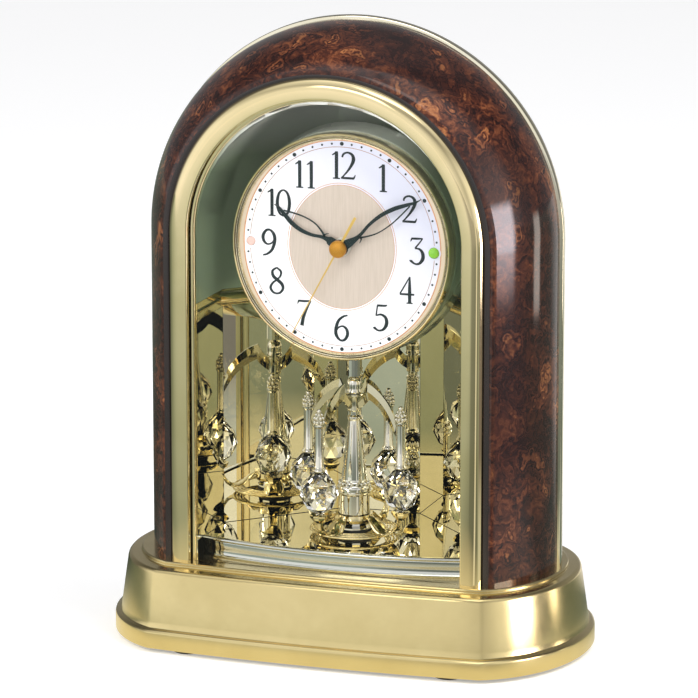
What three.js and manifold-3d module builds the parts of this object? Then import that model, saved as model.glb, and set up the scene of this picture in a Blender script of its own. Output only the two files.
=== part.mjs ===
// Radio-controlled table clock with a turning crystal ornament under its dial.
// Millimetres. +Z is up, the clock faces -Y, and the origin lies under the ornament's axis
// on the surface that the feet stand on.

import * as THREE from 'three';
import { mergeVertices } from 'three/addons/utils/BufferGeometryUtils.js';
import Module from 'manifold-3d';

const wasm = await Module();
wasm.setup();

// Clearances
const seatGap = 0.2; // between fixed pieces that lie against each other
const runGap = 0.4; // between a moving piece and a fixed one
const pivotGap = 0.15; // round a shaft or pipe in its bore

// Plinth
const footHeight = 2;
const plinthTop = 40;
const plinthHalfWidth = 113.3;
const plinthHalfDepth = 65;
const plinthSideBulge = 50.6; // half-axis along X of the curved sides
const plinthCorner = 70; // degrees round each side's curve to the crease at the front
const plinthWall = 3;
const skirtHeight = 9;
const skirtStep = 2.8;
const ledgeInset = 8.6;
const ledgeHeight = 38;
const stepInsetSide = 11.8;
const stepInsetFront = 15;
const plateThickness = 2.5;
const footRadius = 7;
const footX = 63;
const footY = 52;

// Mirrored bay in plan
const bayHalf = 63.6;
const bayCorner = -2.4; // Y where the side walls turn into the slanted mirrors
const centreHalf = 17.9;
const bayRear = bayCorner + bayHalf - centreHalf;
const panelThickness = 1.6;

// Arched case, which grows outwards and back from the bay
const springHeight = 192; // where the straight sides meet the arch
const arcSteps = 26;
const caseFront = -41;
const ringReveal = 1.8; // of the ring's inner edge beyond the bay
const ringWidth = 9.6;
const ringInner = bayHalf + ringReveal;
const ringOuter = ringInner + ringWidth;
const ringProud = 3.3;
const ringDepth = 3.5;
const bandFace = 3; // flat strip beside the ring
const bandRear = 4; // where the curved side becomes parallel to Y
const bandLip = 1.5;
const bandSwell = 18.5; // how far the curved side stands out from its front strip
const bandRearRadius = ringOuter + bandFace + bandSwell;
const bandWall = 3;
const flangeThickness = 2.2;
const trimProud = 1.5;
const trimRadius = bandRearRadius + trimProud;
const trimDepth = 4.1;
const housingStep = 3; // of the back's edge inside the curved side's
const housingTaper = 13.5;
const housingFrontRadius = bandRearRadius - housingStep;
const housingRearRadius = housingFrontRadius - housingTaper;
const bayClearance = 1.1; // behind the bay's rear panel
const housingRear = bayRear + panelThickness + bayClearance;
const housingWall = 2.6;
const coverThickness = 2.5;
const glassThickness = 2;
const glassRebate = 1.8;
const retainerDepth = 2.6;
const retainerInner = bayHalf;

// Floor and mouldings of the bay
const stageTop = 48.5;
const stageWall = 2;
const fasciaBow = 8;
const fasciaHalf = 60;
const fasciaFront = -38.3;
const fasciaThickness = 1.6;
const fasciaLip = 0.7;
const fasciaBead = 1.7;
const corniceBottom = 152;
const corniceTop = 160;
const corniceProud = 3.4;

// Dial
const dialHeight = 187.1;
const dialFace = -17.3;
const plateRadius = 50.6;
const dialThickness = 1;
const bezelOuter = 52.5;
const bezelInner = 49.4;
const bezelProud = 2.3;
const bezelSkirt = 7;
const drumFrontRadius = 51;
const drumRearRadius = 54.4;
const drumWall = 2;
const drumDepth = 21.8;
const neckRadius = 25.5;
const lampOffset = 44;
const lampRadius = 2.5;
const sensorRadius = 2;
const movementSize = 56;
const movementDepth = 15;

// Hands, all turning on the dial's axis
const arborRadius = 0.8;
const minutePipe = 1.8;
const hourPipe = 2.8;
const bushRadius = 4.2;
const bushProud = 1.6;
const pipeDepth = 6;
const handThickness = 0.5;
const hourLayer = 2.2; // distance of each hand in front of the dial
const minuteLayer = 3.6;
const secondLayer = 5;
const hourLength = 36.5;
const minuteLength = 46.6;
const secondLength = 46.2;
const secondTail = 17.1;
const capRadius = 4;
const capHeight = 3.2;
const hourAngle = 300; // degrees clockwise from twelve
const minuteAngle = 57.3;
const secondAngle = 208.7;

// Turning ornament
const spinRadius = 26.7; // of the circle that the four posts stand on
const firstPost = 162; // degrees round from +X
const postCount = 4;
const shaftRadius = 1.5;
const shaftBottom = 23;
const hubBottom = 50;
const hubThickness = 1.4;
const baseTop = 72.3;
const baseDrumRadius = 7.2;
const baseFootRadius = 8.2;
const collarBottom = 54.6; // of the collar that carries the arms
const collarHeight = 3.6;
const wreathRadius = 20;
const armThickness = 1.3;
const cupRadius = 4.6;
const cupTop = 62.6;
const crystalRadius = 9;
const crystalHeight = 20.4;
const crystalSides = 8;
const postRadius = 2.2;
const postTop = 105;
const finialRadius = 3.1;
const finialHeight = 7.6;
const columnFoot = 6.4;
const columnHead = 3;
const columnShoulder = 104.7;
const neckTop = 115.4;
const columnNeck = 2.3;
const crownHub = 3.7;
const ribPeakRadius = 8.2;
const ribPeak = 121;
const ribHeight = 8;
const ribThickness = 1.4;
const bulbRadius = 3.6;
const bulbTop = 123;
const pivotRadius = 0.9;
const pivotLength = 4;
const bearingRadius = 3.6;

// Drive under the stage
const gearModule = 0.8;
const gearTeeth = 36;
const pinionTeeth = 12;
const gearBottom = 28;
const gearThickness = 3;
const toothBacklash = 0.12;
const motorRadius = 12;
const motorTop = 26.5;
const bushFlange = 7;
const bushBody = 4;
const bushFlangeThickness = 1.4;

// Back
const cellRadius = 7.2;
const cellLength = 49.6;
const cellGap = 0.4;
const pocketHalfX = 2 * cellRadius + cellGap / 2 + 0.8;
const pocketHalfZ = cellLength / 2 + 0.8;
const pocketDepth = 2 * cellRadius + 1.2;
const pocketX = -54;
const pocketHeight = 148;
const pocketWall = 1.6;
const doorThickness = 1.8;
const doorGap = 0.4;
const hingeRadius = 1.8;
const hingePin = 0.9;
const lugWidth = 4;
const receiveButtonHeight = 205;
const buttonPitch = 13;
const switchPitch = 14;
const setButtonHeight = receiveButtonHeight - buttonPitch;
const switchHeight = setButtonHeight - switchPitch;
const buttonRadius = 3.2;
const buttonTravel = 1.2;
const buttonProud = 1.6;
const switchTravel = 4;
const boardThickness = 1.6;
const boardWidth = 20;
const boardMargin = 9; // of the board beyond the controls at its two ends
const boardClearance = 5; // from the board's upper corner to the case
const screwRadius = 1.5;
const screwHead = 3;
const screwLength = 11;
const screwX = 62;
const screwHeight = 56;
const antennaRadius = 4;
const antennaLength = 60;
const coilRadius = 5.6;
const coilLength = 26;
const antennaY = 27;
const antennaHeight = springHeight + housingRearRadius - 6;

const radians = THREE.MathUtils.degToRad;
const clock = new THREE.Group();

// Solids and booleans

function solid(geometry) {
  const bare = geometry.index ? geometry.toNonIndexed() : geometry.clone();
  bare.deleteAttribute('normal');
  bare.deleteAttribute('uv');
  const merged = mergeVertices(bare, 1e-4);
  const mesh = new wasm.Mesh({
    numProp: 3,
    vertProperties: new Float32Array(merged.attributes.position.array),
    triVerts: new Uint32Array(merged.index.array),
  });
  return new wasm.Manifold(mesh);
}

function surface(manifold) {
  const mesh = manifold.getMesh();
  const geometry = new THREE.BufferGeometry();
  geometry.setAttribute('position', new THREE.BufferAttribute(new Float32Array(mesh.vertProperties), 3));
  geometry.setIndex(new THREE.BufferAttribute(new Uint32Array(mesh.triVerts), 1));
  geometry.computeVertexNormals();
  return geometry;
}

function join(...geometries) {
  return surface(geometries.map(solid).reduce((sum, next) => sum.add(next)));
}

function cut(base, ...tools) {
  return surface(tools.map(solid).reduce((rest, tool) => rest.subtract(tool), solid(base)));
}

function common(first, second) {
  return surface(solid(first).intersect(solid(second)));
}

// Shapes and placing

function outline(points) {
  return new THREE.Shape(points.map(([x, y]) => new THREE.Vector2(x, y)));
}

function prism(shape, bottom, top, curveSegments = 12) {
  const geometry = new THREE.ExtrudeGeometry(shape, { depth: top - bottom, bevelEnabled: false, curveSegments });
  return geometry.translate(0, 0, bottom);
}

// Turns every triangle over if the closed skin faces inwards.
function outward(geometry) {
  const point = geometry.attributes.position;
  const index = geometry.index.array;
  const corners = [new THREE.Vector3(), new THREE.Vector3(), new THREE.Vector3()];
  let volume = 0;
  for (let i = 0; i < index.length; i += 3) {
    corners.forEach((corner, k) => corner.fromBufferAttribute(point, index[i + k]));
    volume += corners[0].dot(corners[1].cross(corners[2]));
  }
  for (let i = 0; volume < 0 && i < index.length; i += 3) {
    [index[i], index[i + 1]] = [index[i + 1], index[i]];
  }
  return geometry;
}

// A profile of [radius, height] points turned round the Z axis.
function turned(profile, segments = 16) {
  const points = profile.map(([radius, height]) => new THREE.Vector2(radius, height));
  return outward(new THREE.LatheGeometry(points, segments).rotateX(Math.PI / 2));
}

// A tube's wall as a closed profile, turned round the Z axis.
function turnedRing(profile, segments = 16) {
  return turned([...profile, profile[0]], segments);
}

function block(x0, x1, y0, y1, z0, z1) {
  const geometry = new THREE.BoxGeometry(x1 - x0, y1 - y0, z1 - z0);
  return geometry.translate((x0 + x1) / 2, (y0 + y1) / 2, (z0 + z1) / 2);
}

function rod(radius, bottom, top, segments = 16) {
  return turned([[0, bottom], [radius, bottom], [radius, top], [0, top]], segments);
}

// Turns a piece made along +Z so that it points out of the clock's front or back.
function facingFront(geometry, x, y, z) {
  return geometry.rotateX(Math.PI / 2).translate(x, y, z);
}

function facingBack(geometry, x, y, z) {
  return geometry.rotateX(-Math.PI / 2).translate(x, y, z);
}

function onDial(geometry) {
  return facingFront(geometry, 0, dialFace, dialHeight);
}

function aroundX(geometry, x, y, z) {
  return geometry.rotateY(Math.PI / 2).translate(x, y, z);
}

// Closed skin over rings of points that all have the same count, with flat ends.
function skin(rings) {
  const positions = [];
  const indices = [];
  const count = rings[0].length;
  rings.forEach((ring) => ring.forEach((point) => positions.push(...point)));
  for (let level = 0; level < rings.length - 1; level += 1) {
    for (let i = 0; i < count; i += 1) {
      const a = level * count + i;
      const b = level * count + ((i + 1) % count);
      indices.push(a, b, b + count, a, b + count, a + count);
    }
  }
  const last = (rings.length - 1) * count;
  capTriangles(rings[0]).forEach(([a, b, c]) => indices.push(a, c, b));
  capTriangles(rings[rings.length - 1]).forEach(([a, b, c]) => indices.push(last + a, last + b, last + c));
  const geometry = new THREE.BufferGeometry();
  geometry.setAttribute('position', new THREE.Float32BufferAttribute(positions, 3));
  geometry.setIndex(indices);
  return outward(geometry);
}

// Triangles of a flat ring, counted along the ring's own direction.
function capTriangles(ring) {
  const a = new THREE.Vector3(...ring[0]);
  const normal = new THREE.Vector3();
  ring.forEach((point, i) => {
    const p = new THREE.Vector3(...point).sub(a);
    const q = new THREE.Vector3(...ring[(i + 1) % ring.length]).sub(a);
    normal.add(p.cross(q));
  });
  normal.normalize();
  const along = new THREE.Vector3(...ring[1]).sub(a).normalize();
  const across = normal.clone().cross(along);
  const flat = ring.map((point) => {
    const p = new THREE.Vector3(...point).sub(a);
    return new THREE.Vector2(p.dot(along), p.dot(across));
  });
  return THREE.ShapeUtils.triangulateShape(flat, []);
}

// Loft of plan outlines: each level is [outline points, height].
function loft(levels) {
  return skin(levels.map(([points, height]) => points.map(([x, y]) => [x, y, height])));
}

// The arch: up the left side, over, and down the right side.
function archStations(radius, bottom) {
  const stations = [[-radius, bottom]];
  for (let i = 0; i <= arcSteps; i += 1) {
    const angle = Math.PI * (1 - i / arcSteps);
    stations.push([radius * Math.cos(angle), springHeight + radius * Math.sin(angle)]);
  }
  stations.push([radius, bottom]);
  return stations;
}

// A closed section of [radius, y] points swept along the arch.
function archSweep(section, bottom) {
  const paths = section.map(([radius, y]) => archStations(radius, bottom).map(([x, z]) => [x, y, z]));
  const rings = paths[0].map((_, i) => paths.map((path) => path[i]));
  return skin(rings);
}

// A flat arch plate between two Y planes.
function archPlate(radius, bottom, y0, y1) {
  const face = archStations(radius, bottom);
  return skin([face.map(([x, z]) => [x, y1, z]), face.map(([x, z]) => [x, y0, z])]);
}

// Moves each corner of an open line sideways by a distance, with mitred corners.
function offsetLine(line, distance) {
  const normals = line.slice(1).map(([x, y], i) => {
    const dx = x - line[i][0];
    const dy = y - line[i][1];
    const size = Math.hypot(dx, dy);
    return [-dy / size, dx / size];
  });
  return line.map(([x, y], i) => {
    const before = normals[Math.max(i - 1, 0)];
    const after = normals[Math.min(i, normals.length - 1)];
    const scale = distance / (1 + before[0] * after[0] + before[1] * after[1]);
    return [x + (before[0] + after[0]) * scale, y + (before[1] + after[1]) * scale];
  });
}

function addPiece(name, geometry, look) {
  const material = new THREE.MeshStandardMaterial(look);
  const mesh = new THREE.Mesh(geometry, material);
  mesh.name = name;
  clock.add(mesh);
  return mesh;
}

// Finishes
const champagne = { color: 0xd9c78f, roughness: 0.35, metalness: 0.9 };
const creamGold = { color: 0xe3d3a0, roughness: 0.25, metalness: 0.9 };
const burl = { color: 0x5f3626, roughness: 0.2, metalness: 0 };
const chrome = { color: 0xd5dadd, roughness: 0.08, metalness: 1 };
const brightGold = { color: 0xd8b85a, roughness: 0.15, metalness: 1 };
const mirrorGold = { color: 0xc8b878, roughness: 0.04, metalness: 1 };
const darkGloss = { color: 0x45574e, roughness: 0.12, metalness: 0.2 };
const clear = { color: 0xf2f6f7, roughness: 0.02, metalness: 0, transparent: true, opacity: 0.25 };
const crystalClear = { color: 0xf6f4ee, roughness: 0.02, metalness: 0, transparent: true, opacity: 0.6 };
const dialWhite = { color: 0xf5f4f8, roughness: 0.5, metalness: 0 };
const copper = { color: 0xd8a67c, roughness: 0.3, metalness: 0.8 };
const handDark = { color: 0x1f3333, roughness: 0.4, metalness: 0.3 };
const secondGold = { color: 0xd0a13c, roughness: 0.3, metalness: 0.8 };
const blackPlastic = { color: 0x222222, roughness: 0.5, metalness: 0 };
const greyPlastic = { color: 0x6b6e70, roughness: 0.6, metalness: 0 };
const rubber = { color: 0x1b1b1b, roughness: 0.8, metalness: 0 };
const steel = { color: 0xb9bcc0, roughness: 0.3, metalness: 1 };
const whitePlastic = { color: 0xe9e6dc, roughness: 0.5, metalness: 0 };

// Plinth

// Half-ellipse sides joined by shallow bows at the front and back, drawn in by two insets.
function plinthOutline(insetSide, insetFront) {
  const centre = plinthHalfWidth - plinthSideBulge;
  const halfX = plinthSideBulge - insetSide;
  const halfY = plinthHalfDepth - insetFront;
  const corner = radians(plinthCorner);
  const cornerX = centre + halfX * Math.cos(corner);
  const cornerY = halfY * Math.sin(corner);
  const sideSteps = 12;
  const bowSteps = 4;
  const points = [];
  for (let i = 0; i <= sideSteps; i += 1) {
    const angle = corner * ((2 * i) / sideSteps - 1);
    points.push([centre + halfX * Math.cos(angle), halfY * Math.sin(angle)]);
  }
  for (let i = 1; i < bowSteps; i += 1) {
    const share = 1 - (2 * i) / bowSteps;
    points.push([cornerX * share, halfY - (halfY - cornerY) * share * share]);
  }
  return [...points, ...points.map(([x, y]) => [-x, -y])];
}

function plinthLevel(inset, height, insetFront = inset) {
  return [plinthOutline(inset, insetFront), height];
}

function makePlinth() {
  const skirtTop = footHeight + skirtHeight;
  const outside = loft([
    plinthLevel(0, footHeight),
    plinthLevel(0, skirtTop - 1.8),
    plinthLevel(0.9, skirtTop - 0.5),
    plinthLevel(skirtStep - 0.4, skirtTop),
    plinthLevel(skirtStep, skirtTop + 1),
    plinthLevel(ledgeInset - 2.2, ledgeHeight - 1.8),
    plinthLevel(ledgeInset - 1.4, ledgeHeight - 0.5),
    plinthLevel(ledgeInset, ledgeHeight),
    plinthLevel(stepInsetSide, ledgeHeight, stepInsetFront),
    plinthLevel(stepInsetSide + 0.5, ledgeHeight + 0.5, stepInsetFront + 0.5),
    plinthLevel(stepInsetSide + 0.5, plinthTop - 0.6, stepInsetFront + 0.5),
    plinthLevel(stepInsetSide + 1.1, plinthTop, stepInsetFront + 1.1),
  ]);
  const plateTop = footHeight + plateThickness + seatGap;
  const plateRecess = loft([plinthLevel(plinthWall, 0), plinthLevel(plinthWall, plateTop)]);
  const cavity = loft([
    plinthLevel(plinthWall + skirtStep, footHeight),
    plinthLevel(plinthWall + skirtStep, skirtTop),
    plinthLevel(plinthWall + ledgeInset, ledgeHeight - plinthWall),
  ]);
  const bushHole = rod(bushBody + seatGap, ledgeHeight - plinthWall - 5, plinthTop + 5);
  addPiece('plinth_shell', cut(outside, plateRecess, cavity, bushHole), champagne);

  const plate = loft([
    plinthLevel(plinthWall + seatGap, footHeight),
    plinthLevel(plinthWall + seatGap, footHeight + plateThickness),
  ]);
  addPiece('base_plate', plate, blackPlastic);

  const feet = { front_left: [-1, -1], front_right: [1, -1], rear_left: [-1, 1], rear_right: [1, 1] };
  Object.entries(feet).forEach(([place, [sideX, sideY]]) => {
    const profile = [[0, 0], [footRadius - 0.5, 0], [footRadius, 0.5], [footRadius, footHeight], [0, footHeight]];
    const foot = turned(profile).translate(sideX * footX, sideY * footY, 0);
    addPiece(`foot_${place}`, foot, rubber);
  });
}

// Arched case: ring, glass and its retainer, burl band, rear trim, housing and cover

function bandCurve(offset, steps) {
  const startX = ringOuter + bandFace;
  const run = bandRear - caseFront;
  const rise = bandRearRadius - startX;
  const radius = (rise * rise + run * run) / (2 * rise);
  const centreX = bandRearRadius - radius;
  const start = Math.asin(run / radius);
  const points = [];
  for (let i = 0; i <= steps; i += 1) {
    const angle = -start * (1 - i / steps);
    const reach = radius - offset;
    points.push([centreX + reach * Math.cos(angle), bandRear + reach * Math.sin(angle)]);
  }
  return points;
}

function makeCase() {
  const bottom = plinthTop;
  const face = caseFront - ringProud;
  const ringBack = caseFront + ringDepth;
  const rebateFront = face + 2.6;
  const glassEdge = ringInner + glassRebate;
  const ring = archSweep([
    [ringInner, face + 0.3],
    [ringInner + 0.4, face],
    [ringInner + 4.6, face],
    [ringInner + 6.4, face + 0.35],
    [ringOuter - 1.6, face + 1.2],
    [ringOuter - 0.4, face + 2.4],
    [ringOuter, face + ringProud + 0.6],
    [ringOuter, ringBack],
    [glassEdge + seatGap, ringBack],
    [glassEdge + seatGap, rebateFront],
    [ringInner, rebateFront],
  ], bottom);
  addPiece('front_ring', ring, creamGold);

  const glassFront = rebateFront + seatGap;
  const glassBack = glassFront + glassThickness;
  addPiece('front_glass', archPlate(glassEdge, bottom, glassFront, glassBack), clear);

  const retainerFront = glassBack + seatGap;
  const retainerBack = retainerFront + retainerDepth;
  const retainer = archSweep([
    [retainerInner, retainerFront + 0.9],
    [retainerInner + 0.9, retainerFront],
    [glassEdge, retainerFront],
    [glassEdge, retainerBack],
    [retainerInner, retainerBack],
  ], bottom);
  addPiece('glass_retainer', retainer, creamGold);

  const curve = bandCurve(0, 7);
  const inner = bandCurve(bandWall, 4).filter(([, y]) => y > ringBack + seatGap + flangeThickness);
  const flangeFront = ringBack + seatGap;
  const bandEnd = bandRear + bandLip;
  const band = archSweep([
    [ringOuter + seatGap, caseFront],
    ...curve,
    [bandRearRadius, bandEnd],
    [bandRearRadius - bandWall, bandEnd],
    ...inner.reverse(),
    [ringOuter + seatGap, flangeFront + flangeThickness],
    [glassEdge + 2, flangeFront + flangeThickness],
    [glassEdge + 2, flangeFront],
    [ringOuter + seatGap, flangeFront],
  ], bottom);
  addPiece('case_band', band, burl);

  const trimFront = bandEnd + seatGap;
  const trimBack = trimFront + trimDepth;
  const trimInner = bandRearRadius - bandWall - 1.5;
  const trim = archSweep([
    [trimInner, trimFront],
    [trimRadius - 0.8, trimFront],
    [trimRadius, trimFront + 0.8],
    [trimRadius, trimBack - 0.8],
    [trimRadius - 0.8, trimBack],
    [trimInner, trimBack],
  ], bottom);
  addPiece('rear_trim', trim, creamGold);

  makeHousing(trimBack + seatGap, bottom);
}

function screwPlaces() {
  return [['left', -screwX], ['right', screwX]];
}

function makeHousing(front, bottom) {
  const rim = housingRearRadius;
  const middle = (front + housingRear) / 2;
  const middleRadius = (housingFrontRadius + rim) / 2 + 3;
  const wall = archSweep([
    [housingFrontRadius, front],
    [middleRadius, middle],
    [rim, housingRear],
    [rim - housingWall, housingRear],
    [middleRadius - housingWall, middle],
    [housingFrontRadius - housingWall, front],
  ], bottom);
  const saddles = [-1, 1].map((side) => {
    const x = side * (antennaLength / 2 - 5);
    const share = (antennaY + 5 - middle) / (housingRear - middle);
    const inside = middleRadius + (rim - middleRadius) * share - housingWall;
    const roof = springHeight + Math.sqrt(inside ** 2 - x ** 2);
    const rib = block(x - 1.5, x + 1.5, antennaY - 5, antennaY + 5, antennaHeight - 1, roof + 0.8);
    const bore = aroundX(rod(antennaRadius + seatGap, -3, 3), x, antennaY, antennaHeight);
    return cut(rib, bore);
  });
  const bosses = screwPlaces().map(([, x]) => {
    const side = Math.sign(x);
    const web = block(Math.min(x, side * rim), Math.max(x, side * rim), housingRear - screwLength - 2,
      housingRear - 2.5, screwHeight - 1.2, screwHeight + 1.2);
    const boss = facingBack(rod(screwHead + 0.6, -screwLength - 2, 0), x, housingRear, screwHeight);
    const bore = facingBack(rod(screwRadius + seatGap, -screwLength - 1, 1, 16), x, housingRear, screwHeight);
    return cut(join(web, boss), bore);
  });
  addPiece('rear_housing', join(wall, ...saddles, ...bosses), blackPlastic);
  makeCover(bottom);
}

// Position of the controls and the board behind them
const boardCorner = housingRearRadius - housingWall - boardClearance;
const boardRise = receiveButtonHeight + boardMargin - springHeight;
const controlX = Math.sqrt(boardCorner ** 2 - boardRise ** 2) - boardWidth / 2;
const coverFront = housingRear + seatGap;
const coverBack = coverFront + coverThickness;
const boardBack = coverFront - 2.4 - seatGap;

function makeCover(bottom) {
  const plate = archPlate(housingRearRadius, bottom, coverFront, coverBack);
  const pocketFloor = coverBack - doorThickness - pocketDepth;
  const left = pocketX - pocketHalfX;
  const right = pocketX + pocketHalfX;
  const low = pocketHeight - pocketHalfZ;
  const high = pocketHeight + pocketHalfZ;
  const pocket = block(left - pocketWall, right + pocketWall, pocketFloor - pocketWall, coverFront + 0.5,
    low - pocketWall, high + pocketWall);
  const hollow = block(left, right, pocketFloor, coverBack + 1, low, high);
  const hingeY = coverBack + 0.6;
  const pinZ = low - hingeRadius - doorGap;
  const lugs = [-1, 1].map((side) => {
    const x = pocketX + side * (pocketHalfX - lugWidth / 2);
    const barrel = aroundX(rod(hingeRadius, -lugWidth / 2, lugWidth / 2), x, hingeY, pinZ);
    const root = block(x - lugWidth / 2, x + lugWidth / 2, coverBack - 1, hingeY,
      pinZ - hingeRadius, pinZ + hingeRadius);
    return join(barrel, root);
  });
  const pinBore = aroundX(rod(hingePin + pivotGap, -pocketHalfX - 1, pocketHalfX + 1, 16), pocketX, hingeY, pinZ);
  const knuckleRoom = block(left + lugWidth, right - lugWidth, coverBack - 1.8, coverBack + 5,
    pinZ - hingeRadius - runGap, low + 1);
  const hooks = [-20, 20].map((x) => {
    const reach = Math.sqrt((housingRearRadius - housingWall - runGap) ** 2 - (Math.abs(x) + 5) ** 2);
    const top = springHeight + reach;
    return block(x - 5, x + 5, coverFront - 4, coverFront + 0.5, top - 2, top);
  });
  const holes = [
    facingBack(rod(buttonRadius + runGap, -6, 6), controlX, coverBack, setButtonHeight),
    facingBack(rod(buttonRadius + runGap, -6, 6), controlX, coverBack, receiveButtonHeight),
    block(controlX - 2, controlX + 2, coverFront - 3, coverBack + 3,
      switchHeight - 2 - runGap, switchHeight + 2 + switchTravel + runGap),
    ...screwPlaces().map(([, x]) => facingBack(rod(screwRadius + seatGap, -6, 6, 16), x, coverBack, screwHeight)),
    ...screwPlaces().map(([, x]) => facingBack(rod(screwHead + seatGap, -1.2, 2, 24), x, coverBack, screwHeight)),
  ];
  const standoffs = [switchHeight + 2.5 - boardMargin, receiveButtonHeight + boardMargin - 2.5].map((height) => {
    const post = facingFront(rod(2, 0, coverFront + 0.5 - boardBack - seatGap, 8), controlX, coverFront + 0.5, height);
    return post;
  });
  const body = join(cut(join(plate, pocket), hollow), ...lugs, ...standoffs, ...hooks);
  addPiece('rear_cover', cut(body, pinBore, knuckleRoom, ...holes), blackPlastic);

  // Door hinged along its lower edge on stub pins
  const leaf = block(left + doorGap, right - doorGap, coverBack - doorThickness, coverBack,
    low + doorGap, high - doorGap);
  const knuckleHalf = pocketHalfX - lugWidth - runGap;
  const knuckle = aroundX(rod(hingeRadius, -knuckleHalf, knuckleHalf), pocketX, hingeY, pinZ);
  const arm = block(pocketX - knuckleHalf, pocketX + knuckleHalf, coverBack - 0.9, hingeY, pinZ, low + doorGap + 1);
  const pins = aroundX(rod(hingePin, 0.5 - pocketHalfX, pocketHalfX - 0.5, 16), pocketX, hingeY, pinZ);
  const grip = block(pocketX - 6, pocketX + 6, coverBack - 0.5, coverBack + 0.8, high - 5, high - 3);
  addPiece('battery_door', join(leaf, arm, knuckle, pins, grip), blackPlastic);

  [-1, 1].forEach((side, i) => {
    const x = pocketX + side * (cellRadius + cellGap / 2);
    const y = pocketFloor + cellRadius + seatGap;
    const half = cellLength / 2;
    const body = rod(cellRadius, -half, half - 1);
    const nub = rod(2.6, half - 1.5, half, 12);
    const cell = join(body, nub).rotateX(side > 0 ? 0 : Math.PI);
    addPiece(`battery_cell_${i + 1}`, cell.translate(x, y, pocketHeight), steel);
  });

  makeControls();

  screwPlaces().forEach(([place, x]) => {
    const profile = [
      [0, -screwLength], [screwRadius, -screwLength], [screwRadius, -1],
      [screwHead, -1], [screwHead, 0], [screwHead - 0.6, 0.5], [0, 0.7],
    ];
    addPiece(`rear_screw_${place}`, facingBack(turned(profile, 12), x, coverBack, screwHeight), steel);
  });
}

function makeControls() {
  const plungerEnd = boardBack + seatGap + buttonTravel;
  const buttons = { set_button: setButtonHeight, receive_button: receiveButtonHeight };
  Object.entries(buttons).forEach(([name, height]) => {
    const length = coverBack + buttonProud - plungerEnd;
    const flange = coverFront - plungerEnd - seatGap;
    const profile = [
      [0, 0], [buttonRadius + 0.8, 0], [buttonRadius + 0.8, flange], [buttonRadius, flange],
      [buttonRadius, length - 0.4], [buttonRadius - 0.4, length], [0, length],
    ];
    addPiece(name, facingBack(turned(profile, 16), controlX, plungerEnd, height), greyPlastic);
  });
  const slider = join(
    block(controlX - 1.6, controlX + 1.6, boardBack + seatGap, coverBack + 1.2, switchHeight - 2, switchHeight + 2),
    block(controlX - 4, controlX + 4, boardBack + seatGap, boardBack + 1.6, switchHeight - 3, switchHeight + 3),
  );
  addPiece('rotation_switch', slider, greyPlastic);
  const board = block(controlX - boardWidth / 2, controlX + boardWidth / 2, boardBack - boardThickness,
    boardBack, switchHeight - boardMargin, receiveButtonHeight + boardMargin);
  addPiece('control_board', board, { color: 0x2f6b3c, roughness: 0.5, metalness: 0 });
  const bar = rod(antennaRadius, -antennaLength / 2, antennaLength / 2);
  const coil = rod(coilRadius, -coilLength / 2, coilLength / 2);
  addPiece('bar_antenna', aroundX(join(bar, coil), 0, antennaY, antennaHeight), copper);
}

// Mirrored bay

const bayFront = caseFront - ringProud + 2.6 + seatGap + glassThickness + seatGap + retainerDepth + seatGap;

function bayLine(offset = 0) {
  const line = [
    [-bayHalf, bayFront], [-bayHalf, bayCorner], [-centreHalf, bayRear],
    [centreHalf, bayRear], [bayHalf, bayCorner], [bayHalf, bayFront],
  ];
  return offsetLine(line, offset);
}

// One flat panel of the bay with mitred ends.
function bayPanel(index, bottom, top) {
  const inner = bayLine();
  const outer = bayLine(panelThickness);
  const ends = [inner[index], inner[index + 1]];
  const direction = new THREE.Vector2(ends[1][0] - ends[0][0], ends[1][1] - ends[0][1]).normalize();
  const shift = (point, amount) => [point[0] + direction.x * amount, point[1] + direction.y * amount];
  const half = seatGap / 2;
  const corners = [
    shift(inner[index], half), shift(outer[index], half),
    shift(outer[index + 1], -half), shift(inner[index + 1], -half),
  ];
  return prism(outline(corners.reverse()), bottom, top);
}

function makeBay() {
  const bottom = stageTop + seatGap;
  const top = corniceBottom - seatGap;
  addPiece('side_panel_left', bayPanel(0, bottom, top), mirrorGold);
  addPiece('mirror_left', bayPanel(1, bottom, top), mirrorGold);
  addPiece('mirror_centre', bayPanel(2, bottom, top), mirrorGold);
  addPiece('mirror_right', bayPanel(3, bottom, top), mirrorGold);
  addPiece('side_panel_right', bayPanel(4, bottom, top), mirrorGold);

  // Rounded moulding that runs round the bay between the mirrors and the hood
  const height = corniceTop - corniceBottom;
  const section = [[panelThickness, 0], [panelThickness, height], [0, height]];
  const steps = 6;
  for (let i = 0; i <= steps; i += 1) {
    const angle = Math.PI * (i / steps);
    section.push([-corniceProud * Math.sin(angle), height / 2 + (height / 2 - 0.6) * Math.cos(angle)]);
  }
  section.push([0, 0]);
  const paths = section.map(([offset, z]) => bayLine(offset).map(([x, y]) => [x, y, corniceBottom + z]));
  const rings = paths[0].map((_, i) => paths.map((path) => path[i]));
  addPiece('cornice', skin(rings), brightGold);
  makeHood();
  makeStage();
}

// Dark hood above the cornice, behind and around the dial.
function makeHood() {
  const bottom = corniceTop + seatGap;
  const top = springHeight + bayHalf + panelThickness + 1;
  const outer = common(
    archPlate(bayHalf + panelThickness, bottom, bayFront, bayRear + panelThickness),
    prism(outline(bayLine(panelThickness).reverse()), bottom - 1, top),
  );
  const inner = common(
    archPlate(bayHalf, bottom - 1, bayFront - 1, bayRear),
    prism(outline([[bayHalf, bayFront - 1], ...bayLine().slice(1, 5).reverse(), [-bayHalf, bayFront - 1]]),
      bottom - 2, top),
  );
  addPiece('hood', cut(outer, inner), darkGloss);
}

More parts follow.
